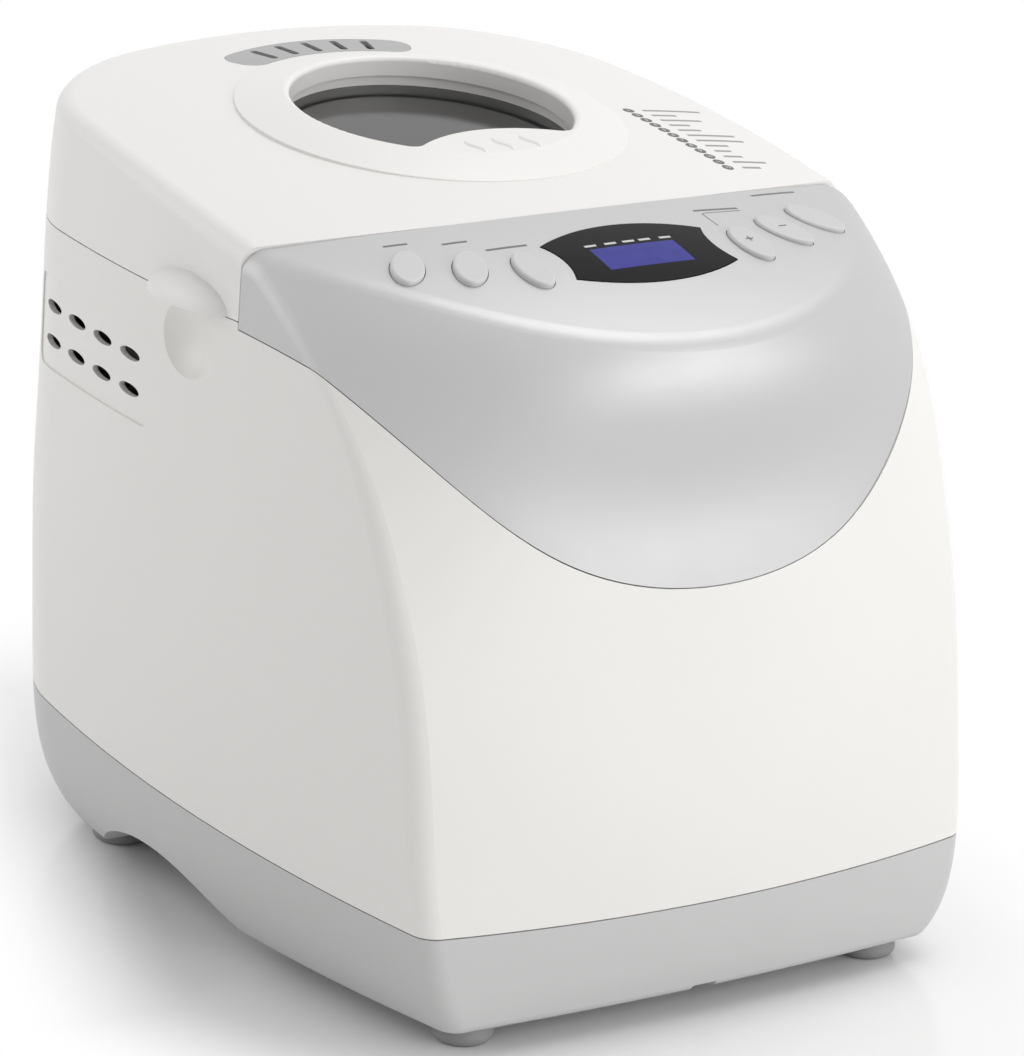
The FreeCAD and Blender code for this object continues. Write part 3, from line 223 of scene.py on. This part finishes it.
galvanised = metal("galvanised_sheet", (0.62, 0.63, 0.64), 0.32, streak=(20, 20, 20), spangle=0.006)
screw_steel = metal("screw_steel", (0.55, 0.54, 0.52), 0.28, streak=(300, 300, 30))
dress(galvanised, "chassis_plate", "chamber_standoffs")
dress(screw_steel, "chassis_screws")


# Drive: shafts, bushes, coupler, pulleys and belt that carry the motor's turning to the pan.
# Ground steel shafts in sintered bronze bushes, die-cast coupler halves, nylon pulleys, ribbed rubber belt.
shaft_steel = metal("shaft_steel", (0.63, 0.62, 0.60), 0.18, streak=(40, 40, 900))
bush_bronze = metal("bush_bronze", (0.52, 0.35, 0.17), 0.38, stain=0.4)
cast_metal = metal("cast_metal", (0.50, 0.50, 0.51), 0.45, streak=(120, 120, 120), depth=0.00006)
pulley_nylon = moulded("pulley_nylon", (0.03, 0.03, 0.032), 0.42, grain=1600.0, drift=0.10)
belt_rubber = moulded("belt_rubber", (0.018, 0.018, 0.018), 0.66, grain=900.0, depth=0.00008, drift=0.2)
dress(shaft_steel, "drive_shaft", "pan_shaft", "motor_shaft")
dress(bush_bronze, "chassis_bush", "pan_bush")
dress(cast_metal, "drive_coupler", "pan_coupler")
dress(pulley_nylon, "driven_pulley", "motor_pulley")
dress(belt_rubber, "drive_belt")


# Motor, its capacitor and the mains board, screwed to the chassis in front of the chamber.
# Painted steel motor can, plastic-sleeved capacitor, glass-fibre board with its larger parts.
motor_paint = moulded("motor_paint", (0.035, 0.036, 0.04), 0.38, grain=700.0, depth=0.00006, drift=0.12)
capacitor_sleeve = moulded("capacitor_sleeve", (0.05, 0.06, 0.09), 0.3, grain=900.0, drift=0.15)
dress(motor_paint, "motor")
dress(capacitor_sleeve, "motor_capacitor")


def circuit_board(name):
    finish, tree = blank_finish(name)
    place = add_node(tree, "ShaderNodeTexCoord").outputs["Object"]
    tracks = add_node(tree, "ShaderNodeTexBrick",
                      {"Vector": place, "Color1": (0.012, 0.10, 0.035, 1), "Color2": (0.016, 0.13, 0.045, 1),
                       "Mortar": (0.03, 0.20, 0.07, 1), "Scale": 90.0, "Mortar Size": 0.06})
    mask = add_node(tree, "ShaderNodeTexNoise", {"Vector": place, "Scale": 260.0, "Detail": 3.0})
    rub = add_node(tree, "ShaderNodeMapRange", {"Value": mask.outputs["Fac"], "To Min": 0.28, "To Max": 0.5})
    bump = add_node(tree, "ShaderNodeBump", {"Height": tracks.outputs["Fac"], "Distance": 0.00005})
    surface = add_node(tree, "ShaderNodeBsdfPrincipled",
                       {"Base Color": tracks.outputs["Color"], "Roughness": rub.outputs[0],
                        "Normal": bump.outputs[0]})
    add_node(tree, "ShaderNodeOutputMaterial", {"Surface": surface.outputs[0]})
    return finish


board_green = circuit_board("board_green")
dress(board_green, "power_board")


# Baking chamber with its heater, clips, temperature sensor and the socket that the pan locks into.
# Folded aluminised steel, lightly coloured by heat; the heater is a sheathed rod bent to a loop.
aluminised = metal("aluminised_sheet", (0.60, 0.60, 0.59), 0.30, streak=(8, 8, 90), stain=0.3)
heater_sheath = metal("heater_sheath", (0.20, 0.185, 0.17), 0.42, streak=(200, 200, 40), stain=0.6)
sensor_steel = metal("sensor_steel", (0.60, 0.59, 0.57), 0.22)
dress(aluminised, "oven_chamber", "heater_clips", "pan_socket")
dress(heater_sheath, "heater_element")
dress(sensor_steel, "temperature_sensor")


# Frame round the chamber's mouth.
# Heat-resistant grey nylon, clipped over the chamber's flange.
frame_nylon = moulded("frame_nylon", (0.55, 0.55, 0.55), 0.45, grain=1500.0, drift=0.05)
dress(frame_nylon, "top_frame")


# Bread pan and kneading paddle.
# Drawn aluminium with a dark non-stick coating that is finely speckled; the paddle is cast and coated too.
def speckled_coating(name, tone, fleck):
    finish = moulded(name, tone, 0.36, grain=1100.0, depth=0.00005, drift=0.2)
    tree = finish.node_tree
    surface = next(n for n in tree.nodes if n.type == "BSDF_PRINCIPLED")
    skin = next(n for n in tree.nodes if n.type == "GROUP")
    place = add_node(tree, "ShaderNodeTexCoord").outputs["Object"]
    dots = add_node(tree, "ShaderNodeTexVoronoi", {"Vector": place, "Scale": 700.0})
    near = add_node(tree, "ShaderNodeMapRange",
                    {"Value": dots.outputs["Distance"], "From Min": 0.16, "From Max": 0.24,
                     "To Min": 1.0, "To Max": 0.0})
    flecked = mix_colours(tree, near.outputs[0], skin.outputs["Colour"], (*fleck, 1))
    tree.links.new(flecked, surface.inputs["Base Color"])
    return finish


pan_coating = speckled_coating("pan_coating", (0.075, 0.075, 0.078), (0.20, 0.20, 0.205))
dress(pan_coating, "bread_pan", "kneading_paddle")


# Bail handle: the wire hoop that lifts the pan.
# Bright stainless wire, drawn and bent, sprung into the pan's ears.
bail_wire = metal("bail_wire", (0.66, 0.65, 0.63), 0.16, streak=(25, 500, 500))
dress(bail_wire, "bail_handle")


# Outer housing: the white wrap-round shell with the side vents, finger scoops and hinge lugs.
# One polypropylene moulding with a fine satin skin.
housing_white = moulded("housing_white", (0.80, 0.787, 0.765), 0.36, grain=1900.0, drift=0.02)
dress(housing_white, "outer_housing")


# Hinge pins: two plain rods that the lid turns on.
# Ground steel, pressed through the lugs.
dress(shaft_steel, "hinge_pin_left", "hinge_pin_right")


# Control fascia: the bowed front panel and sloping deck, with a printed bar above each button.
# Moulded and sprayed with a satin silver-grey paint; the dark grey ink is pad-printed.
fascia_paint = moulded("fascia_paint", (0.54, 0.54, 0.54), 0.44, grain=2600.0, depth=0.00002, drift=0.04,
                       Metallic=0.35)
dress(fascia_paint, "control_fascia")

legend_ink = moulded("legend_ink", (0.16, 0.16, 0.162), 0.5, grain=3000.0, drift=0.15)


def surface_of(*names):
    """What lies on these pieces is dropped on to this from above."""
    points, faces = [], []
    for name in names:
        mesh = nodes[name].data
        start = len(points)
        points += [v.co.copy() for v in mesh.vertices]
        faces += [[start + i for i in f.vertices] for f in mesh.polygons]
    return BVHTree.FromPolygons(points, faces)


def lay_on(surface, points):
    """Each point's height is measured from the surface below it."""
    laid = []
    above, down = cad_high[2] + 0.1, Vector((0, 0, -1))
    for x, y, height in points:
        hit = surface.ray_cast(Vector((x, y, above)), down)[0]
        laid.append(hit + Vector((0, 0, height)))
    return laid


def add_piece(name, mesh, body, thickness):
    """A skin drawn over the object, closed by giving it a thickness downwards."""
    piece = bpy.data.objects.new(name, mesh)
    bpy.context.scene.collection.objects.link(piece)
    film = piece.modifiers.new("thickness", "SOLIDIFY")
    film.thickness = thickness
    film.offset = -1.0
    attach(piece, body)


def mesh_of(name, points, faces, finish):
    mesh = bpy.data.meshes.new(name)
    mesh.from_pydata(points, [], faces)
    mesh.materials.append(finish)
    return mesh


def stroke(path, width, step=0.0015):
    """A flat line of even width through the points, cut short enough to follow a curved surface."""
    line = [Vector((*path[0], 0))]
    for a, b in zip(path, path[1:]):
        a, b = Vector((*a, 0)), Vector((*b, 0))
        count = max(1, math.ceil((b - a).length / step))
        line += [a.lerp(b, i / count) for i in range(1, count + 1)]
    points, faces = [], []
    for i, here in enumerate(line):
        along = (line[min(i + 1, len(line) - 1)] - line[max(i - 1, 0)]).normalized()
        across = Vector((-along.y, along.x, 0)) * width / 2
        points += [here - across, here + across]
        if i:
            faces.append((2 * i - 2, 2 * i, 2 * i + 1, 2 * i - 1))
    return points, faces


ink_height, ink_thickness = 0.00006, 0.00005


def printed(name, strokes, surface, finish, body):
    points, faces = [], []
    for line_points, line_faces in strokes:
        start = len(points)
        points += [(v.x, v.y, ink_height) for v in line_points]
        faces += [[start + i for i in f] for f in line_faces]
    marks = mesh_of(name, lay_on(surface, points), faces, finish)
    add_piece(name, marks, body, ink_thickness)


deck_surface = surface_of("control_fascia")
legend_height, bracket_line = 0.0013, 0.0004
legends = [((-0.0910, -0.0706), (-0.0816, -0.0724)), ((-0.0702, -0.0783), (-0.0600, -0.0795)),
           ((-0.0576, -0.0885), (-0.0404, -0.0900)), ((0.0437, -0.0785), (0.0648, -0.0780)),
           ((0.0802, -0.0662), (0.1043, -0.0615))]
delay_bracket = [(0.0646, -0.0802), (0.0466, -0.0811), (0.0456, -0.0820), (0.0457, -0.0920)]
legend_strokes = [stroke(ends, legend_height) for ends in legends] + [stroke(delay_bracket, bracket_line)]
printed("deck_legends", legend_strokes, deck_surface, legend_ink, "cabinet")


# Display lens: the black bow-sided cover over the liquid crystal.
# Clear acrylic, printed black on its back apart from the window, so the blue panel shows through there; the
# panel there also carries a faint painted glow.
press = Vector(next(j for j in frame["joints"] if j["name"] == "menu_press")["axis"]).normalized()
deck_out = -press
deck_up = deck_out.cross(Vector((1, 0, 0))).normalized()
lcd_centre = Vector((-0.0006, -0.1080, 0.2790))
lcd_size = (0.0380, 0.0154)
print_blur = 0.0002


def lens_finish(name):
    finish, tree = blank_finish(name)
    place = add_node(tree, "ShaderNodeTexCoord").outputs["Object"]
    tilt = math.atan2(deck_up.z, deck_up.y)
    laid = add_node(tree, "ShaderNodeMapping",
                    {"Vector": place, "Location": lcd_centre, "Rotation": (tilt, 0, 0)},
                    vector_type="TEXTURE")
    parts = add_node(tree, "ShaderNodeSeparateXYZ", {0: laid.outputs[0]})
    inside = []
    for axis, size in zip((0, 1), lcd_size):
        away = add_node(tree, "ShaderNodeMath", {0: parts.outputs[axis]}, operation="ABSOLUTE")
        inside.append(add_node(tree, "ShaderNodeMapRange",
                               {"Value": away.outputs[0], "From Min": size / 2 - print_blur,
                                "From Max": size / 2 + print_blur, "To Min": 1.0, "To Max": 0.0}))
    window = add_node(tree, "ShaderNodeMath",
                      {0: inside[0].outputs[0], 1: inside[1].outputs[0]}, operation="MULTIPLY")
    cells = add_node(tree, "ShaderNodeTexNoise", {"Vector": place, "Scale": 140.0, "Detail": 2.0})
    panel = mix_colours(tree, cells.outputs["Fac"], (0.036, 0.036, 0.19, 1), (0.052, 0.052, 0.25, 1))
    print_back = mix_colours(tree, window.outputs[0], (0.010, 0.010, 0.011, 1), panel)
    # Painted glow: the blue panel inside the window also emits faintly, an emission that brightens it as if
    # lit from behind.
    panel_painted_glow = mix_colours(tree, window.outputs[0], (0, 0, 0, 1), panel)
    smear = add_node(tree, "ShaderNodeMapRange",
                     {"Value": cells.outputs["Fac"], "To Min": 0.06, "To Max": 0.14})
    surface = add_node(tree, "ShaderNodeBsdfPrincipled",
                       {"Base Color": print_back, "Roughness": smear.outputs[0], "Specular IOR Level": 0.05,
                        "Emission Color": panel_painted_glow, "Emission Strength": 0.3})
    add_node(tree, "ShaderNodeOutputMaterial", {"Surface": surface.outputs[0]})
    return finish


lens_black = lens_finish("lens_black")
dress(lens_black, "display_lens")

lens_print = moulded("lens_print", (0.62, 0.62, 0.62), 0.4, grain=3000.0, drift=0.1)
lens_surface = surface_of("display_lens")
tick_y, tick_length, tick_height = -0.0982, 0.0052, 0.0013
tick_starts = (-0.0201, -0.0111, -0.0029, 0.0044, 0.0138)
ticks = [stroke([(x, tick_y), (x + tick_length, tick_y)], tick_height) for x in tick_starts]
printed("lens_ticks", ticks, lens_surface, lens_print, "cabinet")


# Liquid crystal module, control board, its screws and the tact switches behind the fascia.
# Glass panel on a glass-fibre board, with a small black switch under each button.
lcd_glass = moulded("lcd_glass", (0.07, 0.065, 0.34), 0.2, grain=900.0, drift=0.1)
switch_black = moulded("switch_black", (0.02, 0.02, 0.02), 0.45, grain=1500.0, drift=0.15)
dress(lcd_glass, "lcd_module")
dress(board_green, "control_board")
dress(screw_steel, "board_screws", "liner_screws")
dress(switch_black, "tact_switches")


# Buttons: six oval caps on an arc across the deck.
# Moulded in the same grey as the fascia, with a satin face; each slides in its own hole.
# Two of them carry a printed plus and minus sign.
button_grey = moulded("button_grey", (0.58, 0.575, 0.575), 0.38, grain=2600.0, drift=0.03)
dress(button_grey, "menu_button", "crust_button", "loaf_button", "time_up_button", "time_down_button",
      "start_button")

sign_reach, sign_width = 0.0017, 0.0007
for body, upright in (("time_up", True), ("time_down", False)):
    low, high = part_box(body + "_button")
    x, y = (low.x + high.x) / 2, (low.y + high.y) / 2
    strokes = [stroke([(x - sign_reach, y), (x + sign_reach, y)], sign_width)]
    if upright:
        gap = sign_width / 2
        strokes += [stroke([(x, y + s * gap), (x, y + s * sign_reach)], sign_width) for s in (-1, 1)]
    printed(body + "_sign", strokes, surface_of(body + "_button"), legend_ink, body)


# Lid cover: the crowned white lid with lift tabs, a raised ring and a tongue.
# Polypropylene moulding with a fine satin skin, as the housing.
lid_white = moulded("lid_white", (0.82, 0.804, 0.787), 0.34, grain=1900.0, drift=0.02)
dress(lid_white, "lid_cover")

lid_surface = surface_of("lid_cover")


# Grip ribs: three short waved ribs on the lid's tongue, moulded in one with the lid.
# They rise from nothing at both ends and are rounded across.
rib_places, rib_start, rib_length, rib_wave = (-0.0125, 0.0, 0.0125), -0.0210, 0.0150, 0.0012
rib_width, rib_height, rib_root, rib_sink, rib_tip = 0.0034, 0.0009, 0.0004, 0.00005, 0.05
rib_across, rib_along = 10, 24
for number, rib_x in enumerate(rib_places, 1):
    points, faces = [], []
    for i in range(rib_along + 1):
        t = i / rib_along
        swell = math.sin(math.pi * t) ** 0.5
        middle = rib_x + rib_wave * math.sin(2 * math.pi * t)
        for j in range(rib_across + 1):
            s = 2 * j / rib_across - 1
            rise = rib_height * swell * (1 - s * s) - rib_sink
            x = middle + s * rib_width / 2 * max(swell, rib_tip)
            points.append((x, rib_start + rib_length * t, rise))
    for i in range(rib_along):
        for j in range(rib_across):
            a = i * (rib_across + 1) + j
            faces.append((a, a + 1, a + rib_across + 2, a + rib_across + 1))
    rib = mesh_of(f"grip_rib_{number}", lay_on(lid_surface, points), faces, lid_white)
    rib.shade_smooth()
    add_piece(rib.name, rib, "lid", rib_root)


# Programme list: twelve numbered dots with a plain bar beside each, pad-printed on the lid's right.
# Three inks: dark grey for the dots, a paler grey for the bars and white for the numbers on the dots.
list_ink = moulded("list_ink", (0.13, 0.13, 0.132), 0.5, grain=3000.0, drift=0.15)
bar_ink = moulded("bar_ink", (0.34, 0.34, 0.342), 0.5, grain=3000.0, drift=0.15)
number_ink = moulded("number_ink", (0.80, 0.80, 0.80), 0.5, grain=3000.0, drift=0.08)
list_first, list_last = Vector((0.0860, 0.0248, 0)), Vector((0.0897, -0.0378, 0))
bar_lengths = (0.028, 0.012, 0.020, 0.010, 0.011, 0.023, 0.023, 0.011, 0.008, 0.009, 0.016, 0.009)
list_rows = [list_first.lerp(list_last, i / (len(bar_lengths) - 1)) for i in range(len(bar_lengths))]
mark_sizes = {"Dot Radius": 0.0024, "Bar Gap": 0.0070, "Bar Height": 0.0016}
mark_inks = {"Dot Ink": list_ink, "Bar Ink": bar_ink}


def programme_list_tree():
    tree = bpy.data.node_groups.new("programme_list", "GeometryNodeTree")
    tree.interface.new_socket("Marks", in_out="OUTPUT", socket_type="NodeSocketGeometry")
    tree.interface.new_socket("Rows", in_out="INPUT", socket_type="NodeSocketGeometry")
    for label in mark_sizes:
        tree.interface.new_socket(label, in_out="INPUT", socket_type="NodeSocketFloat")
    for label in mark_inks:
        tree.interface.new_socket(label, in_out="INPUT", socket_type="NodeSocketMaterial")
    given, gives = tree.nodes.new("NodeGroupInput"), tree.nodes.new("NodeGroupOutput")
    dot = add_node(tree, "GeometryNodeMeshCircle",
                   {"Vertices": 24, "Radius": given.outputs["Dot Radius"]}, fill_type="TRIANGLE_FAN")
    dots = add_node(tree, "GeometryNodeInstanceOnPoints",
                    {"Points": given.outputs["Rows"], "Instance": dot.outputs["Mesh"]})
    length = add_node(tree, "GeometryNodeInputNamedAttribute", {"Name": "bar_length"}, data_type="FLOAT")
    size = add_node(tree, "ShaderNodeCombineXYZ",
                    {"X": length.outputs["Attribute"], "Y": given.outputs["Bar Height"], "Z": 1.0})
    strip = add_node(tree, "GeometryNodeMeshGrid",
                     {"Size X": 1.0, "Size Y": 1.0, "Vertices X": 13, "Vertices Y": 3})
    from_left = add_node(tree, "GeometryNodeTransform",
                         {"Geometry": strip.outputs["Mesh"], "Translation": (0.5, 0, 0)})
    bars = add_node(tree, "GeometryNodeInstanceOnPoints",
                    {"Points": given.outputs["Rows"], "Instance": from_left.outputs[0],
                     "Scale": size.outputs[0]})
    gap = add_node(tree, "ShaderNodeCombineXYZ", {"X": given.outputs["Bar Gap"]})
    shifted = add_node(tree, "GeometryNodeTranslateInstances",
                       {"Instances": bars.outputs[0], "Translation": gap.outputs[0], "Local Space": False})
    inked = []
    for source, ink in ((dots, "Dot Ink"), (shifted, "Bar Ink")):
        real = add_node(tree, "GeometryNodeRealizeInstances", {"Geometry": source.outputs[0]})
        inked.append(add_node(tree, "GeometryNodeSetMaterial",
                              {"Geometry": real.outputs[0], "Material": given.outputs[ink]}))
    joined = add_node(tree, "GeometryNodeJoinGeometry")
    for part in inked:
        tree.links.new(part.outputs[0], joined.inputs[0])
    tree.links.new(joined.outputs[0], gives.inputs[0])
    return tree


def settled(holder):
    """The holder's finished mesh as plain points and faces."""
    graph = bpy.context.evaluated_depsgraph_get()
    return bpy.data.meshes.new_from_object(holder.evaluated_get(graph))


row_mesh = bpy.data.meshes.new("list_rows")
row_mesh.from_pydata(list_rows, [], [])
row_mesh.attributes.new("bar_length", "FLOAT", "POINT").data.foreach_set("value", bar_lengths)
holder = bpy.data.objects.new("list_rows", row_mesh)
bpy.context.scene.collection.objects.link(holder)
maker = holder.modifiers.new("programme_list", "NODES")
maker.node_group = programme_list_tree()
sockets = {item.name: item.identifier for item in maker.node_group.interface.items_tree}
for label, value in (mark_sizes | mark_inks).items():
    maker[sockets[label]] = value
list_marks = settled(holder)
bpy.data.objects.remove(holder)
laid = lay_on(lid_surface, [(v.co.x, v.co.y, ink_height) for v in list_marks.vertices])
for vert, place in zip(list_marks.vertices, laid):
    vert.co = place
add_piece("programme_marks", list_marks, "lid", ink_thickness)

digit_size, pair_size = 0.0030, 0.00255
points, faces = [], []
for number, row in enumerate(list_rows, 1):
    figure = bpy.data.curves.new("row_number", "FONT")
    figure.body = str(number)
    figure.size = digit_size if number < 10 else pair_size
    figure.align_x, figure.align_y = "CENTER", "CENTER"
    holder = bpy.data.objects.new("row_number", figure)
    bpy.context.scene.collection.objects.link(holder)
    digits = settled(holder)
    bpy.data.objects.remove(holder)
    start = len(points)
    points += [(row.x + v.co.x, row.y + v.co.y, 2 * ink_height) for v in digits.vertices]
    faces += [[start + i for i in f.vertices] for f in digits.polygons]
row_numbers = mesh_of("row_numbers", lay_on(lid_surface, points), faces, number_ink)
add_piece("row_numbers", row_numbers, "lid", ink_thickness)


# Steam vent: the slotted crescent behind the ring.
# Light grey polypropylene, clipped into the lid.
vent_grey = moulded("vent_grey", (0.40, 0.40, 0.402), 0.42, grain=1900.0, drift=0.04)
dress(vent_grey, "steam_vent")


# Window: the round see-through panel in the lid.
# Tempered glass with a smoke tint, held down by the liner.
def smoked_glass(name):
    finish, tree = blank_finish(name)
    place = add_node(tree, "ShaderNodeTexCoord").outputs["Object"]
    cloud = add_node(tree, "ShaderNodeTexNoise", {"Vector": place, "Scale": 45.0, "Detail": 3.0})
    tint = mix_colours(tree, cloud.outputs["Fac"], (0.060, 0.0595, 0.060, 1), (0.080, 0.0795, 0.080, 1))
    smear = add_node(tree, "ShaderNodeMapRange",
                     {"Value": cloud.outputs["Fac"], "To Min": 0.04, "To Max": 0.12})
    surface = add_node(tree, "ShaderNodeBsdfPrincipled",
                       {"Base Color": tint, "Roughness": smear.outputs[0], "IOR": 1.5,
                        "Transmission Weight": 1.0})
    add_node(tree, "ShaderNodeOutputMaterial", {"Surface": surface.outputs[0]})
    return finish


window_glass = smoked_glass("window_glass")
dress(window_glass, "lid_window")


# Lid liner and seal: the bright sheet under the lid and the lip that closes on the chamber's frame.
# Pressed aluminium sheet, held by screws; extruded grey silicone.
liner_metal = metal("liner_metal", (0.70, 0.70, 0.69), 0.26, streak=(90, 6, 90))
seal_silicone = moulded("seal_silicone", (0.30, 0.30, 0.30), 0.6, grain=1400.0, drift=0.08)
dress(liner_metal, "lid_liner")
dress(seal_silicone, "lid_seal")


# Table top that the machine stands on.
# Polished white board, which shows a faint reflection and a soft shadow near the machine.
# Further off it fades into the white backdrop, sooner at the sides than in front.
table_reach = 6.0
fade_stretch, fade_start, fade_end = (1.0, 0.65, 1.0), 0.165, 0.24
flank_slope, flank_start, flank_end = 0.36, 0.13, 0.21
corners = [(-table_reach, -table_reach, 0), (table_reach, -table_reach, 0),
           (table_reach, table_reach, 0), (-table_reach, table_reach, 0)]


def seen_share(tree):
    """One where a ray comes from the camera, a reflection or through glass, so that these show pure white."""
    path = add_node(tree, "ShaderNodeLightPath")
    plain = add_node(tree, "ShaderNodeMath",
                     {0: path.outputs["Is Camera Ray"], 1: path.outputs["Is Glossy Ray"]},
                     operation="MAXIMUM")
    return add_node(tree, "ShaderNodeMath",
                    {0: plain.outputs[0], 1: path.outputs["Is Transmission Ray"]}, operation="MAXIMUM")


def white_board_finish(name):
    finish, tree = blank_finish(name)
    place = add_node(tree, "ShaderNodeTexCoord").outputs["Object"]
    cloud = add_node(tree, "ShaderNodeTexNoise", {"Vector": place, "Scale": 3.0})
    tone = mix_colours(tree, cloud.outputs["Fac"], (0.90, 0.90, 0.90, 1), (0.92, 0.92, 0.92, 1))
    board = add_node(tree, "ShaderNodeBsdfPrincipled", {"Base Color": tone, "Roughness": 0.16})
    white = add_node(tree, "ShaderNodeEmission", {"Color": (1, 1, 1, 1), "Strength": 1.0})
    oval = add_node(tree, "ShaderNodeVectorMath", {0: place, 1: fade_stretch}, operation="MULTIPLY")
    away = add_node(tree, "ShaderNodeVectorMath", {0: oval.outputs[0]}, operation="LENGTH")
    round_fade = add_node(tree, "ShaderNodeMapRange",
                          {"Value": away.outputs["Value"], "From Min": fade_start, "From Max": fade_end},
                          interpolation_type="SMOOTHSTEP")
    spot = add_node(tree, "ShaderNodeSeparateXYZ", {"Vector": place})
    aside = add_node(tree, "ShaderNodeMath", {0: spot.outputs["X"]}, operation="ABSOLUTE")
    slant = add_node(tree, "ShaderNodeMath",
                     {0: spot.outputs["Y"], 1: flank_slope, 2: aside.outputs[0]}, operation="MULTIPLY_ADD")
    flank_fade = add_node(tree, "ShaderNodeMapRange",
                          {"Value": slant.outputs[0], "From Min": flank_start, "From Max": flank_end},
                          interpolation_type="SMOOTHSTEP")
    fade = add_node(tree, "ShaderNodeMath",
                    {0: round_fade.outputs[0], 1: flank_fade.outputs[0]}, operation="MAXIMUM")
    share = add_node(tree, "ShaderNodeMath",
                     {0: fade.outputs[0], 1: seen_share(tree).outputs[0]}, operation="MULTIPLY")
    mixed = add_node(tree, "ShaderNodeMixShader",
                     {0: share.outputs[0], 1: board.outputs[0], 2: white.outputs[0]})
    add_node(tree, "ShaderNodeOutputMaterial", {"Surface": mixed.outputs[0]})
    return finish


table = mesh_of("table_top", corners, [(0, 1, 2, 3)], white_board_finish("white_board"))
table_top = bpy.data.objects.new("table_top", table)
bpy.context.scene.collection.objects.link(table_top)
table_top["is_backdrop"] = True


# Studio: a white surround with a large soft lamp overhead, one in front and a weaker one at the left.
# The lamps are round softboxes on stands, and the surround is paper that is lit evenly.
studio = bpy.data.worlds.new("studio")
bpy.context.scene.world = studio
studio.use_nodes = True
tree = studio.node_tree
tree.nodes.clear()
dim = add_node(tree, "ShaderNodeBackground", {"Color": (1, 1, 1, 1), "Strength": 0.55})
white = add_node(tree, "ShaderNodeBackground", {"Color": (1, 1, 1, 1), "Strength": 1.0})
mixed = add_node(tree, "ShaderNodeMixShader",
                 {0: seen_share(tree).outputs[0], 1: dim.outputs[0], 2: white.outputs[0]})
add_node(tree, "ShaderNodeOutputWorld", {"Surface": mixed.outputs[0]})


lamp_aim = Vector((0, 0, 0.15))


def softbox(name, at, width, power):
    lamp = bpy.data.lights.new(name, "AREA")
    lamp.shape = "DISK"
    lamp.size = width
    lamp.energy = power
    holder = bpy.data.objects.new(name, lamp)
    bpy.context.scene.collection.objects.link(holder)
    holder.location = at
    holder.rotation_euler = (lamp_aim - Vector(at)).to_track_quat("-Z", "Y").to_euler()


softbox("top_lamp", (0.8, -0.1, 2.4), 1.8, 23)
softbox("front_lamp", (1.2, -2.6, 0.5), 3.0, 50)
softbox("left_lamp", (-2.0, 1.8, 1.0), 2.2, 16)


# Camera at the photograph's place: above the lid's height at the front left.
# A long lens on a tripod head that is tilted down and rolled a little to the left.
camera = bpy.data.cameras.new("camera")
camera.lens = 185.0
camera.sensor_width = 36.0
camera_stand = bpy.data.objects.new("camera", camera)
bpy.context.scene.collection.objects.link(camera_stand)
camera_place = (-1.15397, -1.68214, 0.76834)
right, up, behind = (0.82674, -0.56064, 0.04654), (0.12771, 0.26762, 0.95500), (-0.54787, -0.78361, 0.29287)
turn = Matrix((right, up, behind)).transposed()
camera_stand.matrix_world = Matrix.Translation(camera_place) @ turn.to_4x4()
bpy.context.scene.camera = camera_stand
bpy.context.scene.view_settings.view_transform = "Standard"

low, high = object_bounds()
